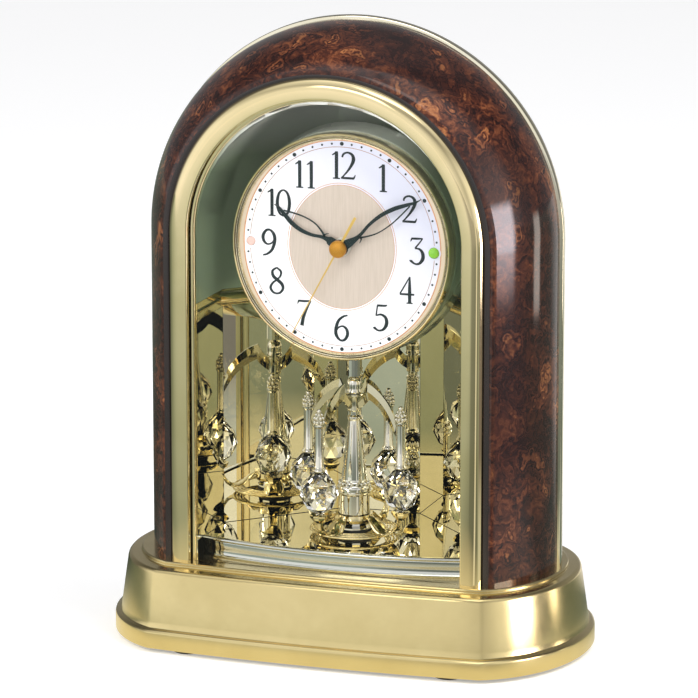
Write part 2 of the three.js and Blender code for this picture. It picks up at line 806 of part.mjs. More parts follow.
function fasciaArc(offset, half, steps = 16) {
  const radius = (fasciaHalf * fasciaHalf + fasciaBow * fasciaBow) / (2 * fasciaBow);
  const centre = fasciaFront + radius;
  const reach = radius - offset;
  const span = Math.asin(half / reach);
  const points = [];
  for (let i = 0; i <= steps; i += 1) {
    const angle = span * (1 - (2 * i) / steps);
    points.push([-reach * Math.sin(angle), centre - reach * Math.cos(angle)]);
  }
  return points;
}

function fasciaStrip(front, back, half, bottom, top) {
  return prism(outline([...fasciaArc(front, half), ...fasciaArc(back, half).reverse()]), bottom, top);
}

function makeStage() {
  const half = bayHalf - seatGap;
  const front = fasciaArc(fasciaThickness + seatGap, half);
  const rear = bayLine(-seatGap).slice(1, 5).reverse();
  const plan = outline([...front, ...rear]);
  const body = prism(plan, plinthTop, stageTop);
  const innerFront = fasciaArc(fasciaThickness + seatGap + stageWall, half - stageWall);
  const innerRear = bayLine(-seatGap - stageWall).slice(1, 5).reverse();
  const hollow = prism(outline([...innerFront, ...innerRear]), plinthTop - 1, stageTop - stageWall);
  const hole = rod(shaftRadius + 2, plinthTop - 2, stageTop + 2);
  addPiece('stage', cut(body, hollow, hole), mirrorGold);

  const lipTop = stageTop + fasciaLip;
  const strip = fasciaStrip(0, fasciaThickness, half, plinthTop, lipTop);
  const bead = fasciaStrip(-0.8, 0.4, half, lipTop - fasciaBead, lipTop);
  const foot = fasciaStrip(-0.6, 0.4, half, plinthTop, plinthTop + 1.2);
  addPiece('stage_fascia', join(strip, bead, foot), chrome);
}

// Dial and its works, made along +Z with the dial's face at zero

function makeDial() {
  const front = -dialThickness - seatGap;
  const drum = onDial(turnedRing([
    [bezelInner - 1, front],
    [drumFrontRadius, front],
    [drumFrontRadius, -bezelSkirt - seatGap],
    [bezelOuter, -bezelSkirt - seatGap],
    [drumRearRadius, -drumDepth],
    [neckRadius, -drumDepth],
    [neckRadius, dialFace - bayRear - 1],
    [neckRadius - drumWall, dialFace - bayRear - 1],
    [neckRadius - drumWall, drumWall - drumDepth],
    [drumFrontRadius - drumWall, drumWall - drumDepth],
    [drumFrontRadius - drumWall, front - 1],
    [bezelInner - 1, front - 1],
  ], 32));
  const room = prism(outline(bayLine(-seatGap)), dialHeight - drumRearRadius - 1, dialHeight + drumRearRadius + 1);
  addPiece('dial_drum', common(drum, room), darkGloss);

  const bezel = turnedRing([
    [bezelInner, seatGap],
    [bezelInner + 0.3, 1],
    [bezelInner + 1.6, bezelProud - 0.3],
    [bezelInner + 2.3, bezelProud],
    [bezelOuter, bezelProud - 0.9],
    [bezelOuter, -bezelSkirt],
    [drumFrontRadius + seatGap, -bezelSkirt],
    [drumFrontRadius + seatGap, seatGap],
  ], 40);
  addPiece('dial_bezel', onDial(bezel), copper);

  const disc = cut(
    rod(plateRadius, -dialThickness, 0, 48),
    rod(bushRadius + seatGap, -5, 5),
    rod(lampRadius + seatGap, -5, 5).translate(lampOffset, 0, 0),
    rod(sensorRadius + seatGap, -5, 5).translate(-lampOffset, 0, 0),
  );
  addPiece('dial_plate', onDial(disc), dialWhite);

  const lamp = turned([
    [0, -4], [lampRadius, -4], [lampRadius, 0.4], [lampRadius * 0.85, 1.1], [lampRadius * 0.45, 1.6], [0, 1.8],
  ], 16);
  addPiece('reception_lamp', onDial(lamp.translate(lampOffset, 0, 0)), { color: 0x6fc02e, roughness: 0.2 });
  const sensor = turned([[0, -4], [sensorRadius, -4], [sensorRadius, 0], [sensorRadius * 0.6, 0.3], [0, 0.4]], 16);
  addPiece('light_sensor', onDial(sensor.translate(-lampOffset, 0, 0)), { color: 0xe8c3b8, roughness: 0.3 });

  const back = -dialThickness - seatGap;
  const half = movementSize / 2;
  const works = join(
    block(-half, half, -half, half, back - movementDepth, back),
    rod(bushRadius, back - 1, bushProud),
  );
  const bore = rod(hourPipe + pivotGap, bushProud - pipeDepth - 2, bushProud + 1);
  addPiece('movement_case', onDial(cut(works, bore)), whitePlastic);
}

// Open-leaf hand with its pipe. The leaf has one heavy and one light edge.
function leafHand(length, leafWidth, boss) {
  const start = length * 0.27;
  const end = length * 0.93;
  const heavy = 1.1;
  const light = 0.55;
  const stem = 0.9;
  const shape = new THREE.Shape();
  shape.moveTo(-stem, 0);
  shape.lineTo(-stem, start * 0.8);
  shape.bezierCurveTo(-leafWidth, start + (end - start) * 0.25, -leafWidth, start + (end - start) * 0.7, -0.3, end);
  shape.lineTo(0, length);
  shape.lineTo(0.3, end);
  shape.bezierCurveTo(leafWidth * 0.8, start + (end - start) * 0.7, leafWidth, start + (end - start) * 0.3,
    stem + 0.4, start);
  shape.lineTo(stem + 1.6, start - 0.9);
  shape.lineTo(stem, start - 1);
  shape.lineTo(stem, 0);
  shape.closePath();
  const opening = new THREE.Path();
  const low = start + 1.2;
  const high = end - 2.4;
  const rise = high - low;
  opening.moveTo(0.1, low);
  opening.bezierCurveTo(leafWidth - light - 0.3, low + rise * 0.3, leafWidth * 0.8 - light, low + rise * 0.7, 0, high);
  opening.bezierCurveTo(-leafWidth + heavy + 0.7, low + rise * 0.7, -leafWidth + heavy, low + rise * 0.25, 0.1, low);
  shape.holes.push(opening);
  return join(prism(shape, 0, handThickness, 7), rod(boss, 0, handThickness, 14));
}

function clockwise(geometry, degrees) {
  return geometry.rotateZ(-radians(degrees));
}

function makeHands() {
  const hourBottom = bushProud - pipeDepth;
  const hourBlade = cut(leafHand(hourLength, 3.4, hourPipe + 1), rod(minutePipe + pivotGap, -1, 1));
  const hourTube = turnedRing([
    [minutePipe + pivotGap, hourBottom], [hourPipe, hourBottom],
    [hourPipe, hourLayer + 0.1], [minutePipe + pivotGap, hourLayer + 0.1],
  ], 16);
  const hour = join(clockwise(hourBlade, hourAngle).translate(0, 0, hourLayer), hourTube);
  addPiece('hour_hand', onDial(hour), handDark);

  const minuteBlade = cut(leafHand(minuteLength, 3.2, minutePipe + 1.6), rod(arborRadius + pivotGap, -1, 1));
  const minuteTube = turnedRing([
    [arborRadius + pivotGap, hourBottom], [minutePipe, hourBottom],
    [minutePipe, minuteLayer + 0.1], [arborRadius + pivotGap, minuteLayer + 0.1],
  ], 16);
  const minute = join(clockwise(minuteBlade, minuteAngle).translate(0, 0, minuteLayer), minuteTube);
  addPiece('minute_hand', onDial(minute), handDark);

  const needle = prism(outline([
    [-0.65, -secondTail], [0.65, -secondTail], [0.5, 0], [0.2, secondLength], [-0.2, secondLength], [-0.5, 0],
  ]), 0, handThickness);
  const arbor = rod(arborRadius, hourBottom, secondLayer + 0.2, 16);
  const cap = turned([
    [0, secondLayer + 0.1],
    [capRadius, secondLayer + 0.1],
    [capRadius, secondLayer + 1],
    [capRadius * 0.9, secondLayer + capHeight * 0.6],
    [capRadius * 0.6, secondLayer + capHeight * 0.9],
    [0, secondLayer + capHeight],
  ], 20);
  const second = join(clockwise(needle, secondAngle).translate(0, 0, secondLayer), arbor, cap);
  addPiece('second_hand', onDial(second), secondGold);
}

// Turning ornament

function postAngle(index) {
  return radians(firstPost) + (index * 2 * Math.PI) / postCount;
}

// Stands a plate drawn in the plane of radius and height on edge at one post's angle.
function radialPlate(shape, thickness, angle) {
  const plate = prism(shape, -thickness / 2, thickness / 2, 5);
  return plate.rotateX(Math.PI / 2).rotateZ(angle);
}

function makeOrnament() {
  const bore = shaftRadius + pivotGap;
  addPiece('rotor_shaft', rod(shaftRadius, shaftBottom, baseTop - 0.5), steel);
  const hubTop = hubBottom + hubThickness;
  const hub = turnedRing([
    [bore, hubBottom], [baseFootRadius - 0.3, hubBottom], [baseFootRadius, hubBottom + 0.3],
    [baseFootRadius, hubTop], [bore, hubTop],
  ], 20);
  addPiece('rotor_hub', hub, blackPlastic);

  const foot = hubTop + seatGap;
  const base = turnedRing([
    [bore, foot],
    [baseFootRadius, foot],
    [baseFootRadius, foot + 0.8],
    [baseDrumRadius + 0.2, foot + 2],
    [baseDrumRadius, foot + 2.6],
    [baseDrumRadius, baseTop - 4.6],
    [baseDrumRadius + 0.5, baseTop - 4],
    [baseDrumRadius + 0.5, baseTop - 0.6],
    [baseDrumRadius, baseTop],
    [bore, baseTop],
  ], 20);
  addPiece('rotor_base', base, chrome);

  makeArms();

  const column = turned([
    [0, baseTop + seatGap],
    [columnFoot, baseTop + seatGap],
    [columnFoot, baseTop + 1.4],
    [columnFoot - 0.5, baseTop + 2],
    [columnHead, columnShoulder - 2],
    [columnHead + 0.3, columnShoulder - 1],
    [columnHead, columnShoulder],
    [columnNeck, columnShoulder + 0.4],
    [columnNeck, neckTop],
    [bulbRadius - 0.5, neckTop + 0.8],
    [bulbRadius, neckTop + 3],
    [bulbRadius - 0.3, neckTop + 5.4],
    [bulbRadius - 1.4, bulbTop - 0.6],
    [pivotRadius, bulbTop],
    [pivotRadius, bulbTop + pivotLength],
    [0, bulbTop + pivotLength],
  ], 16);
  addPiece('column', column, chrome);

  makeCrown();

  for (let i = 0; i < postCount; i += 1) {
    const x = spinRadius * Math.cos(postAngle(i));
    const y = spinRadius * Math.sin(postAngle(i));
    makeCrystal(i, x, y);
    makePost(i, x, y);
  }
}

// Leaf-shaped bar that follows a path of [radius, height, width] stations at one angle.
function leafBar(stations, thickness, angle) {
  const rings = stations.map(([radius, height, width], i) => {
    const before = stations[Math.max(i - 1, 0)];
    const after = stations[Math.min(i + 1, stations.length - 1)];
    const slope = Math.atan2(after[1] - before[1], after[0] - before[0]);
    const half = width / 2;
    const section = [[-half, 0], [-half * 0.5, thickness * 0.8], [0, thickness], [half * 0.5, thickness * 0.8],
      [half, 0], [0, -thickness * 0.1]];
    return section.map(([side, rise]) => [
      radius - rise * Math.sin(slope),
      side,
      height + rise * Math.cos(slope),
    ]);
  });
  return skin(rings).rotateZ(angle);
}

function makeArms() {
  const bore = baseDrumRadius + seatGap + 0.1;
  const top = collarBottom + collarHeight;
  const collar = turnedRing([
    [bore, collarBottom], [bore + 1.2, collarBottom], [bore + 1.8, collarBottom + 0.8],
    [bore + 1.2, top], [bore, top],
  ], 20);
  const low = hubBottom + 0.4;
  const rise = cupTop - 1.6 - low;
  const wreath = turnedRing([
    [wreathRadius - 1, low], [wreathRadius, low], [wreathRadius + 0.3, low + 0.7], [wreathRadius - 0.3, low + 1.3],
    [wreathRadius - 1, low + 1],
  ], 24);
  const arms = [];
  for (let i = 0; i < postCount; i += 1) {
    const angle = postAngle(i);
    arms.push(leafBar([
      [bore + 0.7, top - 1.4, 3.4],
      [bore + 3, top - 2, 7.4],
      [13, collarBottom - 0.4, 9.4],
      [wreathRadius - 3.4, low + 1.6, 9.6],
      [wreathRadius, low, 7],
      [wreathRadius + 3, low + rise * 0.16, 4.6],
      [spinRadius - 1.4, low + rise * 0.5, 3.4],
      [spinRadius, low + rise, 2.8],
    ], armThickness, angle));
    const cup = turned([
      [0, cupTop - 2.6], [cupRadius - 2.4, cupTop - 2.6], [cupRadius, cupTop - 0.8], [cupRadius, cupTop], [0, cupTop],
    ], 10);
    arms.push(cup.translate(spinRadius * Math.cos(angle), spinRadius * Math.sin(angle), 0));
  }
  addPiece('scroll_arms', join(collar, wreath, ...arms), brightGold);
}

function makeCrystal(index, x, y) {
  const foot = cupTop + seatGap;
  const rings = [[0.3, 0], [0.72, 0.17], [1, 0.4], [1, 0.56], [0.74, 0.84], [0.34, 1]];
  const profile = rings.map(([width, height]) => [crystalRadius * width, foot + crystalHeight * height]);
  const crystal = turned([[0, foot], ...profile, [0, foot + crystalHeight]], crystalSides);
  addPiece(`crystal_${index + 1}`, crystal.rotateZ(postAngle(index)).translate(x, y, 0), crystalClear);
}

function makePost(index, x, y) {
  const foot = cupTop + crystalHeight + 2 * seatGap;
  const top = postTop + finialHeight;
  const post = turned([
    [0, foot],
    [postRadius + 0.9, foot],
    [postRadius + 0.9, foot + 1],
    [postRadius, foot + 1.8],
    [postRadius, postTop - 0.8],
    [finialRadius - 0.3, postTop],
    [finialRadius - 0.3, postTop + 0.8],
    [finialRadius - 1, postTop + 1.4],
    [finialRadius, postTop + 3.2],
    [finialRadius - 0.4, postTop + 4.8],
    [0.7, postTop + 6.4],
    [0, top],
  ], 10);
  addPiece(`post_${index + 1}`, post.translate(x, y, 0), chrome);
}

// Four pointed ribs that rise from the column's neck and come down on the posts.
function makeCrown() {
  const crownTop = neckTop - 0.6;
  const crownBottom = crownTop - ribHeight;
  const bore = columnNeck + pivotGap;
  const hub = turnedRing([
    [bore, crownBottom], [crownHub, crownBottom], [crownHub + 0.4, crownBottom + 0.8],
    [crownHub + 0.4, crownTop - 0.8], [crownHub, crownTop], [bore, crownTop],
  ], 16);
  const reach = spinRadius - postRadius - seatGap;
  const ribs = [];
  for (let i = 0; i < postCount; i += 1) {
    const shape = new THREE.Shape();
    shape.moveTo(crownHub - 0.4, crownTop - 0.8);
    shape.quadraticCurveTo(6, crownTop + 1.6, ribPeakRadius, ribPeak);
    shape.bezierCurveTo(15, ribPeak - 2.2, reach - 2, ribPeak - 9, reach, postTop - 1.4);
    shape.lineTo(reach, postTop - 1.4 - ribHeight * 0.9);
    shape.bezierCurveTo(reach - 4.4, ribPeak - 15, 15.6, ribPeak - 10, ribPeakRadius + 0.4, ribPeak - ribHeight);
    shape.quadraticCurveTo(6.2, crownTop - 5, crownHub - 0.4, crownBottom + 1);
    shape.closePath();
    ribs.push(radialPlate(shape, ribThickness, postAngle(i)));
  }
  addPiece('rib_crown', join(hub, ...ribs), brightGold);
}

// Drive: gear on the ornament's shaft, pinion on the geared motor

function gearOutline(teeth) {
  const pitch = (gearModule * teeth) / 2;
  const tip = pitch + gearModule * 0.9;
  const root = pitch - gearModule * 1.2;
  const step = (2 * Math.PI) / teeth;
  const halfAtPitch = step / 4 - toothBacklash / 2 / pitch;
  const halfAtTip = halfAtPitch * 0.55;
  const halfAtRoot = halfAtPitch * 1.4;
  const points = [];
  for (let i = 0; i < teeth; i += 1) {
    const middle = i * step;
    [[root, -halfAtRoot], [tip, -halfAtTip], [tip, halfAtTip], [root, halfAtRoot]].forEach(([radius, turn]) => {
      points.push([radius * Math.cos(middle + turn), radius * Math.sin(middle + turn)]);
    });
  }
  return outline(points);
}

function makeDrive() {
  const centres = (gearModule * (gearTeeth + pinionTeeth)) / 2;
  const gear = cut(
    join(prism(gearOutline(gearTeeth), gearBottom, gearBottom + gearThickness),
      rod(shaftRadius + 2.2, gearBottom, gearBottom + gearThickness + 1.6)),
    rod(shaftRadius + pivotGap, gearBottom - 1, gearBottom + gearThickness + 3),
  );
  // A tooth of the gear points at the pinion along +Y only after a quarter turn in whole teeth.
  const gearTurn = Math.PI / 2;
  addPiece('rotor_gear', gear.rotateZ(gearTurn), whitePlastic);

  const gap = Math.PI / pinionTeeth;
  const pinion = join(
    prism(gearOutline(pinionTeeth), gearBottom - 0.3, gearBottom + gearThickness + 0.3),
    rod(1.2, motorTop - 4, gearBottom, 16),
  );
  addPiece('motor_pinion', pinion.rotateZ(-Math.PI / 2 + gap).translate(0, centres, 0), whitePlastic);

  const plateTop = footHeight + plateThickness;
  const motor = cut(
    join(
      rod(motorRadius, plateTop + seatGap, motorTop),
      block(-motorRadius - 5, motorRadius + 5, -4, 4, plateTop + seatGap, plateTop + 2.4),
    ),
    rod(1.2 + pivotGap, motorTop - 5, motorTop + 1, 16),
  );
  addPiece('drive_motor', motor.translate(0, centres, 0), steel);

  const bush = turnedRing([
    [shaftRadius + pivotGap, ledgeHeight - plinthWall - 1],
    [bushBody, ledgeHeight - plinthWall - 1],
    [bushBody, plinthTop + seatGap],
    [bushFlange, plinthTop + seatGap],
    [bushFlange, plinthTop + seatGap + bushFlangeThickness],
    [shaftRadius + pivotGap, plinthTop + seatGap + bushFlangeThickness],
  ], 20);
  addPiece('shaft_bush', bush, brightGold);

  // Tube under the dial's drum that holds the ornament's upper pivot
  const slope = (drumRearRadius - bezelOuter) / (drumDepth - bezelSkirt);
  const drumBottom = dialHeight - drumRearRadius + slope * (dialFace + drumDepth - bearingRadius) - 0.2;
  const bearing = turned([
    [0, drumBottom - seatGap],
    [bearingRadius, drumBottom - seatGap],
    [bearingRadius, bulbTop + 0.6],
    [pivotRadius + pivotGap, bulbTop + 0.6],
    [pivotRadius + pivotGap, bulbTop + pivotLength + 0.4],
    [0, bulbTop + pivotLength + 0.4],
  ], 16);
  addPiece('top_bearing', bearing, chrome);
}

makePlinth();
makeCase();
makeBay();
makeDial();
makeHands();
makeOrnament();
makeDrive();

export default clock;
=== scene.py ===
"""Studio scene of an arched table clock with a turning crystal ornament under its dial."""

import logging
import math
from collections.abc import Callable, Iterator, Sequence
from contextlib import contextmanager
from dataclasses import dataclass, field
from enum import Enum

import bpy
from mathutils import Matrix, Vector


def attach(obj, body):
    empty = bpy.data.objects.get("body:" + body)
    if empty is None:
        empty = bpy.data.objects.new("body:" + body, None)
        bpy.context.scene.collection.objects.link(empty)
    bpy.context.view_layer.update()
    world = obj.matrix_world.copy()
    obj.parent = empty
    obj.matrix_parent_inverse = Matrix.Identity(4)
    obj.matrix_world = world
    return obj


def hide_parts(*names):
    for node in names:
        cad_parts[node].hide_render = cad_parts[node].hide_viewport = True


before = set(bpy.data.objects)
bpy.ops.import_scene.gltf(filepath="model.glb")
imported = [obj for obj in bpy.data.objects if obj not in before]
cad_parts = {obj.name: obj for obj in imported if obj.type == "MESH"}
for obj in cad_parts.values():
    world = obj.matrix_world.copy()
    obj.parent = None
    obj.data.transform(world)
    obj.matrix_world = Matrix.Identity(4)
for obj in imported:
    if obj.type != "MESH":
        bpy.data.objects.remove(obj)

LOG = logging.getLogger("table_clock")
MM = 0.001
Piece = bpy.types.Object
MERGE = 1e-6
SHARP = 35
QUAD_BEND = 0.02
QUAD_SKEW = 0.7
LAYERS = 5
MIX_INPUTS = (0, 6, 7)
WHITE = (1.0, 1.0, 1.0, 1.0)
BLACK = (0.0, 0.0, 0.0, 1.0)
Point = tuple[float, float, float]
Flat = tuple[float, float]
Colour = tuple[float, float, float, float]
Placer = Callable[[float, float, float], Point]
Socket = bpy.types.NodeSocket


class Body(Enum):
    """The moving bodies that pieces ride on."""

    CLOCK = "clock"
    ORNAMENT = "ornament"
    PINION = "pinion"
    HOUR = "hour"
    MINUTE = "minute"
    SECOND = "second"
    DOOR = "door"
    SETTER = "setter"
    RECEIVER = "receiver"
    SWITCH = "switch"


class Axis(Enum):
    """Directions that sections are spun about."""

    UP = (0.0, 0.0, 1.0)
    BACK = (0.0, 1.0, 0.0)


# Modelling


def deselect() -> None:
    """Leaves nothing selected in object mode."""
    bpy.ops.object.select_all(action="DESELECT")


def activate(piece: Piece) -> None:
    """Selects one object alone and makes it active.

    Args:
        piece: The object.
    """
    deselect()
    piece.select_set(True)
    bpy.context.view_layer.objects.active = piece


@contextmanager
def editing(piece: Piece) -> Iterator[None]:
    """Opens a piece in edit mode with all of its mesh selected, and closes it after.

    Args:
        piece: The piece to edit.

    Yields:
        Nothing, while edit mode lasts.
    """
    activate(piece)
    bpy.ops.object.mode_set(mode="EDIT")
    bpy.ops.mesh.select_all(action="SELECT")
    yield
    bpy.ops.object.mode_set(mode="OBJECT")


def drawn(name: str, lines: Sequence[Sequence[Point]], closed: bool, **settings: object) -> Piece:
    """Draws lines of points, in millimetres, as a curve and turns it into a mesh.

    Args:
        name: Name of the piece.
        lines: Each line's points in order.
        closed: Whether each line comes back to its first point.
        settings: Values of the curve's properties.

    Returns:
        The new mesh object, active and alone in the selection.
    """
    curve = bpy.data.curves.new(name, "CURVE")
    for key, value in settings.items():
        setattr(curve, key, value)
    for line in lines:
        spline = curve.splines.new("POLY")
        spline.points.add(len(line) - 1)
        for target, (x, y, z) in zip(spline.points, line):
            target.co = (x * MM, y * MM, z * MM, 1.0)
        spline.use_cyclic_u = closed
    piece = bpy.data.objects.new(name, curve)
    bpy.context.collection.objects.link(piece)
    activate(piece)
    bpy.ops.object.convert(target="MESH")
    return bpy.context.object


def traced(name: str, lines: Sequence[Sequence[Point]], closed: bool = True) -> Piece:
    """Lines of points as edges of a new mesh."""
    return drawn(name, lines, closed, dimensions="3D")


def close_up(caps: bool = True) -> None:
    """In edit mode, merges doubles, fills open ends and turns the faces outwards.

    Args:
        caps: Whether open ends are filled.
    """
    bpy.ops.mesh.select_all(action="SELECT")
    bpy.ops.mesh.remove_doubles(threshold=MERGE)
    if caps:
        bpy.ops.mesh.select_all(action="DESELECT")
        bpy.ops.mesh.select_mode(type="EDGE")
        bpy.ops.mesh.select_non_manifold()
        bpy.ops.mesh.edge_face_add()
    bpy.ops.mesh.select_all(action="SELECT")
    bpy.ops.mesh.normals_make_consistent(inside=False)


def smooth(piece: Piece, degrees: float = 32.0) -> Piece:
    """Shades a piece smooth except at edges sharper than an angle.

    Args:
        piece: The piece.
        degrees: Angle from which an edge stays sharp.

    Returns:
        The same piece.
    """
    activate(piece)
    bpy.ops.object.shade_smooth_by_angle(angle=math.radians(degrees))
    return piece


def arched(name: str, section: Sequence[Flat], bottom: float, spring: float, steps: int = 84) -> Piece:
    """Runs a section up one leg, over the arch and down the other leg.

    Args:
        name: Name of the piece.
        section: Points as distance from the middle and depth, in millimetres.
        bottom: Height of the legs' ends.
        spring: Height of the arch's centre.
        steps: Steps round the half circle.

    Returns:
        The closed arch.
    """
    piece = traced(name, [[(x, y, bottom) for x, y in section]])
    rise = (spring - bottom) * MM
    with editing(piece):
        bpy.ops.mesh.extrude_region_move(TRANSFORM_OT_translate={"value": (0, 0, rise)})
        bpy.ops.mesh.spin(steps=steps, angle=math.pi, center=(0, 0, spring * MM), axis=Axis.BACK.value)
        bpy.ops.mesh.extrude_region_move(TRANSFORM_OT_translate={"value": (0, 0, -rise)})
        close_up()
    return smooth(piece)


def spun(
    name: str,
    profile: Sequence[Point],
    axis: Axis = Axis.UP,
    centre: Point = (0.0, 0.0, 0.0),
    steps: int = 48,
    ring: bool = False,
    crease: float = 32.0,
) -> Piece:
    """Spins a profile once round an axis.

    Args:
        name: Name of the piece.
        profile: Points in millimetres, from axis to axis, or all round for a ring.
        axis: Direction of the axis.
        centre: A point of the axis, in millimetres.
        steps: Facets round the axis.
        ring: Whether the profile is closed on itself.
        crease: Angle in degrees from which edges stay sharp.

    Returns:
        The turned piece.
    """
    piece = traced(name, [profile], closed=ring)
    with editing(piece):
        bpy.ops.mesh.spin(steps=steps, angle=math.tau, center=[c * MM for c in centre], axis=axis.value)
        close_up(caps=False)
    return smooth(piece, crease)


def lathed(
    name: str, profile: Sequence[Flat], steps: int = 48, ring: bool = False, crease: float = 32.0
) -> Piece:
    """Spins a profile round the ornament's upright axis.

    Args:
        name: Name of the piece.
        profile: Points as radius and height, in millimetres.
        steps: Facets round the axis.
        ring: Whether the profile is closed on itself.
        crease: Angle in degrees from which edges stay sharp.

    Returns:
        The turned piece.
    """
    return spun(name, [(r, 0, z) for r, z in profile], steps=steps, ring=ring, crease=crease)


def strip_between(
    name: str, first: Sequence[Point], second: Sequence[Point], closed: bool = True
) -> Piece:
    """Bridges two lines of as many points with one strip of faces.

    Args:
        name: Name of the strip.
        first: The first line's points, in millimetres.
        second: The second line's points.
        closed: Whether the lines are rings.

    Returns:
        The strip.
    """
    strip = traced(name, [first, second], closed)
    with editing(strip):
        bpy.ops.mesh.bridge_edge_loops()
    return strip


def lofted(
    name: str, rings: Sequence[Sequence[Point]], caps: bool = True, crease: float = 32.0
) -> Piece:
    """Bridges each closed ring of points to the next and fills the two ends.

    Args:
        name: Name of the piece.
        rings: Rings with the same number of points, in millimetres.
        caps: Whether the ends are filled; if not, the last ring is bridged to the first.
        crease: Angle in degrees from which edges stay sharp.

    Returns:
        The closed piece.
    """
    pairs = list(zip(rings, rings[1:])) + ([] if caps else [(rings[-1], rings[0])])
    piece = joined(name, [strip_between(name, *pair) for pair in pairs])
    with editing(piece):
        close_up(caps=caps)
    return smooth(piece, crease)


def flat_plate(name: str, loops: Sequence[Sequence[Flat]], thickness: float) -> Piece:
    """Fills outlines, holes included, drawn in the XY plane, and gives them thickness.

    Args:
        name: Name of the plate.
        loops: Outlines and holes, in millimetres.
        thickness: The plate lies between heights 0 and this.

    Returns:
        The plate.
    """
    flat = [[(x, y, 0.0) for x, y in loop] for loop in loops]
    half = thickness * MM / 2
    piece = drawn(name, flat, True, dimensions="2D", fill_mode="BOTH", extrude=half)
    with editing(piece):
        bpy.ops.transform.translate(value=(0, 0, half))
        close_up(caps=False)
    return smooth(piece)


def between(stations: Sequence[Point], t: float) -> Point:
    """Finds a place on the smooth curve between the middle two of four stations.

    Args:
        stations: Four stations in a row.
        t: Share of the way from the second to the third.

    Returns:
        The place with its half width.
    """
    place = []
    for p, q, r, s in zip(*stations):
        square, cube = 2 * p - 5 * q + 4 * r - s, 3 * q - p - 3 * r + s
        place.append(0.5 * (2 * q + (r - p) * t + square * t * t + cube * t**3))
    return tuple(place)


def swell(line: Sequence[Point], closed: bool, fine: int = 7) -> tuple[list[Flat], list[Flat]]:
    """Finds both edges of a brush stroke that swells and thins along its way.

    Args:
        line: Stations as x, y and half width.
        closed: Whether the stroke comes back to its start.
        fine: Steps between two stations.

    Returns:
        The left edge and the right edge, point by point.
    """
    count = len(line)
    spans = count if closed else count - 1

    def station(index: int) -> Point:
        """A station by its number, past either end as well."""
        return line[index % count] if closed else line[min(max(index, 0), count - 1)]

    centre: list[Point] = []
    for i in range(spans):
        a, b, c, d = (station(i + k) for k in (-1, 0, 1, 2))
        for k in range(fine):
            centre.append(between((a, b, c, d), k / fine))
    if not closed:
        centre.append(line[-1])
    left, right = [], []
    for i, (x, y, half) in enumerate(centre):
        before = centre[i - 1] if closed or i else centre[0]
        after = centre[(i + 1) % len(centre)] if closed or i + 1 < len(centre) else centre[-1]
        dx, dy = after[0] - before[0], after[1] - before[1]
        length = math.hypot(dx, dy) or 1.0
        left.append((x - dy / length * half, y + dx / length * half))
        right.append((x + dy / length * half, y - dx / length * half))
    return left, right


@dataclass(frozen=True)
class Stroke:
    """One brush stroke of a numeral or a hand: stations as x, y and half width."""

    line: tuple[Point, ...]
    closed: bool = False

    def moved(self, x: float, y: float) -> "Stroke":
        """The same stroke somewhere else."""
        return Stroke(tuple((u + x, v + y, w) for u, v, w in self.line), self.closed)

    def turned(self, degrees: float) -> "Stroke":
        """The same stroke turned clockwise round the origin."""
        c, s = math.cos(math.radians(degrees)), math.sin(math.radians(degrees))
        return Stroke(tuple((u * c + v * s, v * c - u * s, w) for u, v, w in self.line), self.closed)


def brushed(
    name: str, strokes: Sequence[Stroke], place: Placer, thickness: float, step: float = 0.0
) -> Piece:
    """Makes a thin relief of brush strokes.

    Args:
        name: Name of the piece.
        strokes: The strokes.
        place: Takes x, y and a height above the ground of the strokes to a point of the clock.
        thickness: Height of the relief.
        step: Added to each stroke's height in turn, so that crossings don't share a plane.

    Returns:
        The relief, facing the viewer.
    """
    strips = []
    for i, stroke in enumerate(strokes):
        height = thickness + step * (i % LAYERS)
        left, right = swell(stroke.line, stroke.closed)
        sides = ([place(x, y, height) for x, y in side] for side in (left, right))
        strips.append(strip_between(name, *sides, stroke.closed))
    piece = joined(name, strips)
    front = Vector(place(0, 0, 1)) - Vector(place(0, 0, 0))
    with editing(piece):
        bpy.ops.mesh.normals_make_consistent(inside=False)
        bpy.ops.mesh.select_mode(type="FACE")
        bpy.ops.mesh.select_all(action="DESELECT")
    for face in piece.data.polygons:
        face.select = face.normal.dot(front) < 0
    bpy.ops.object.mode_set(mode="EDIT")
    bpy.ops.mesh.flip_normals()
    bpy.ops.object.mode_set(mode="OBJECT")
    apply_modifier(piece, "SOLIDIFY", thickness=thickness * MM, offset=-1.0)
    return smooth(piece)


def apply_modifier(piece: Piece, kind: str, **settings: object) -> None:
    """Adds a modifier and applies it.

    Args:
        piece: The piece.
        kind: The modifier's type.
        settings: Values of the modifier's properties.
    """
    activate(piece)
    modifier = piece.modifiers.new(kind.title(), kind)
    for key, value in settings.items():
        setattr(modifier, key, value)
    bpy.ops.object.modifier_apply(modifier=modifier.name)


def shift(piece: Piece, x: float = 0.0, y: float = 0.0, z: float = 0.0) -> None:
    """Moves a piece's mesh, in millimetres."""
    with editing(piece):
        bpy.ops.transform.translate(value=(x * MM, y * MM, z * MM))


def turn(piece: Piece, degrees: float, axis: str) -> None:
    """Turns a piece's mesh anticlockwise about an axis through the origin.

    Args:
        piece: The piece.
        degrees: Angle of the turn.
        axis: X, Y or Z.
    """
    with editing(piece):
        bpy.ops.transform.rotate(
            value=-math.radians(degrees),
            orient_axis=axis,
            orient_type="GLOBAL",
            center_override=(0, 0, 0),
        )


def twin(piece: Piece, name: str) -> Piece:
    """Copies a piece with a mesh of its own.

    Args:
        piece: The piece.
        name: Name of the copy.

    Returns:
        The copy.
    """
    activate(piece)
    bpy.ops.object.duplicate(linked=False)
    copy = bpy.context.object
    copy.name = name
    return copy


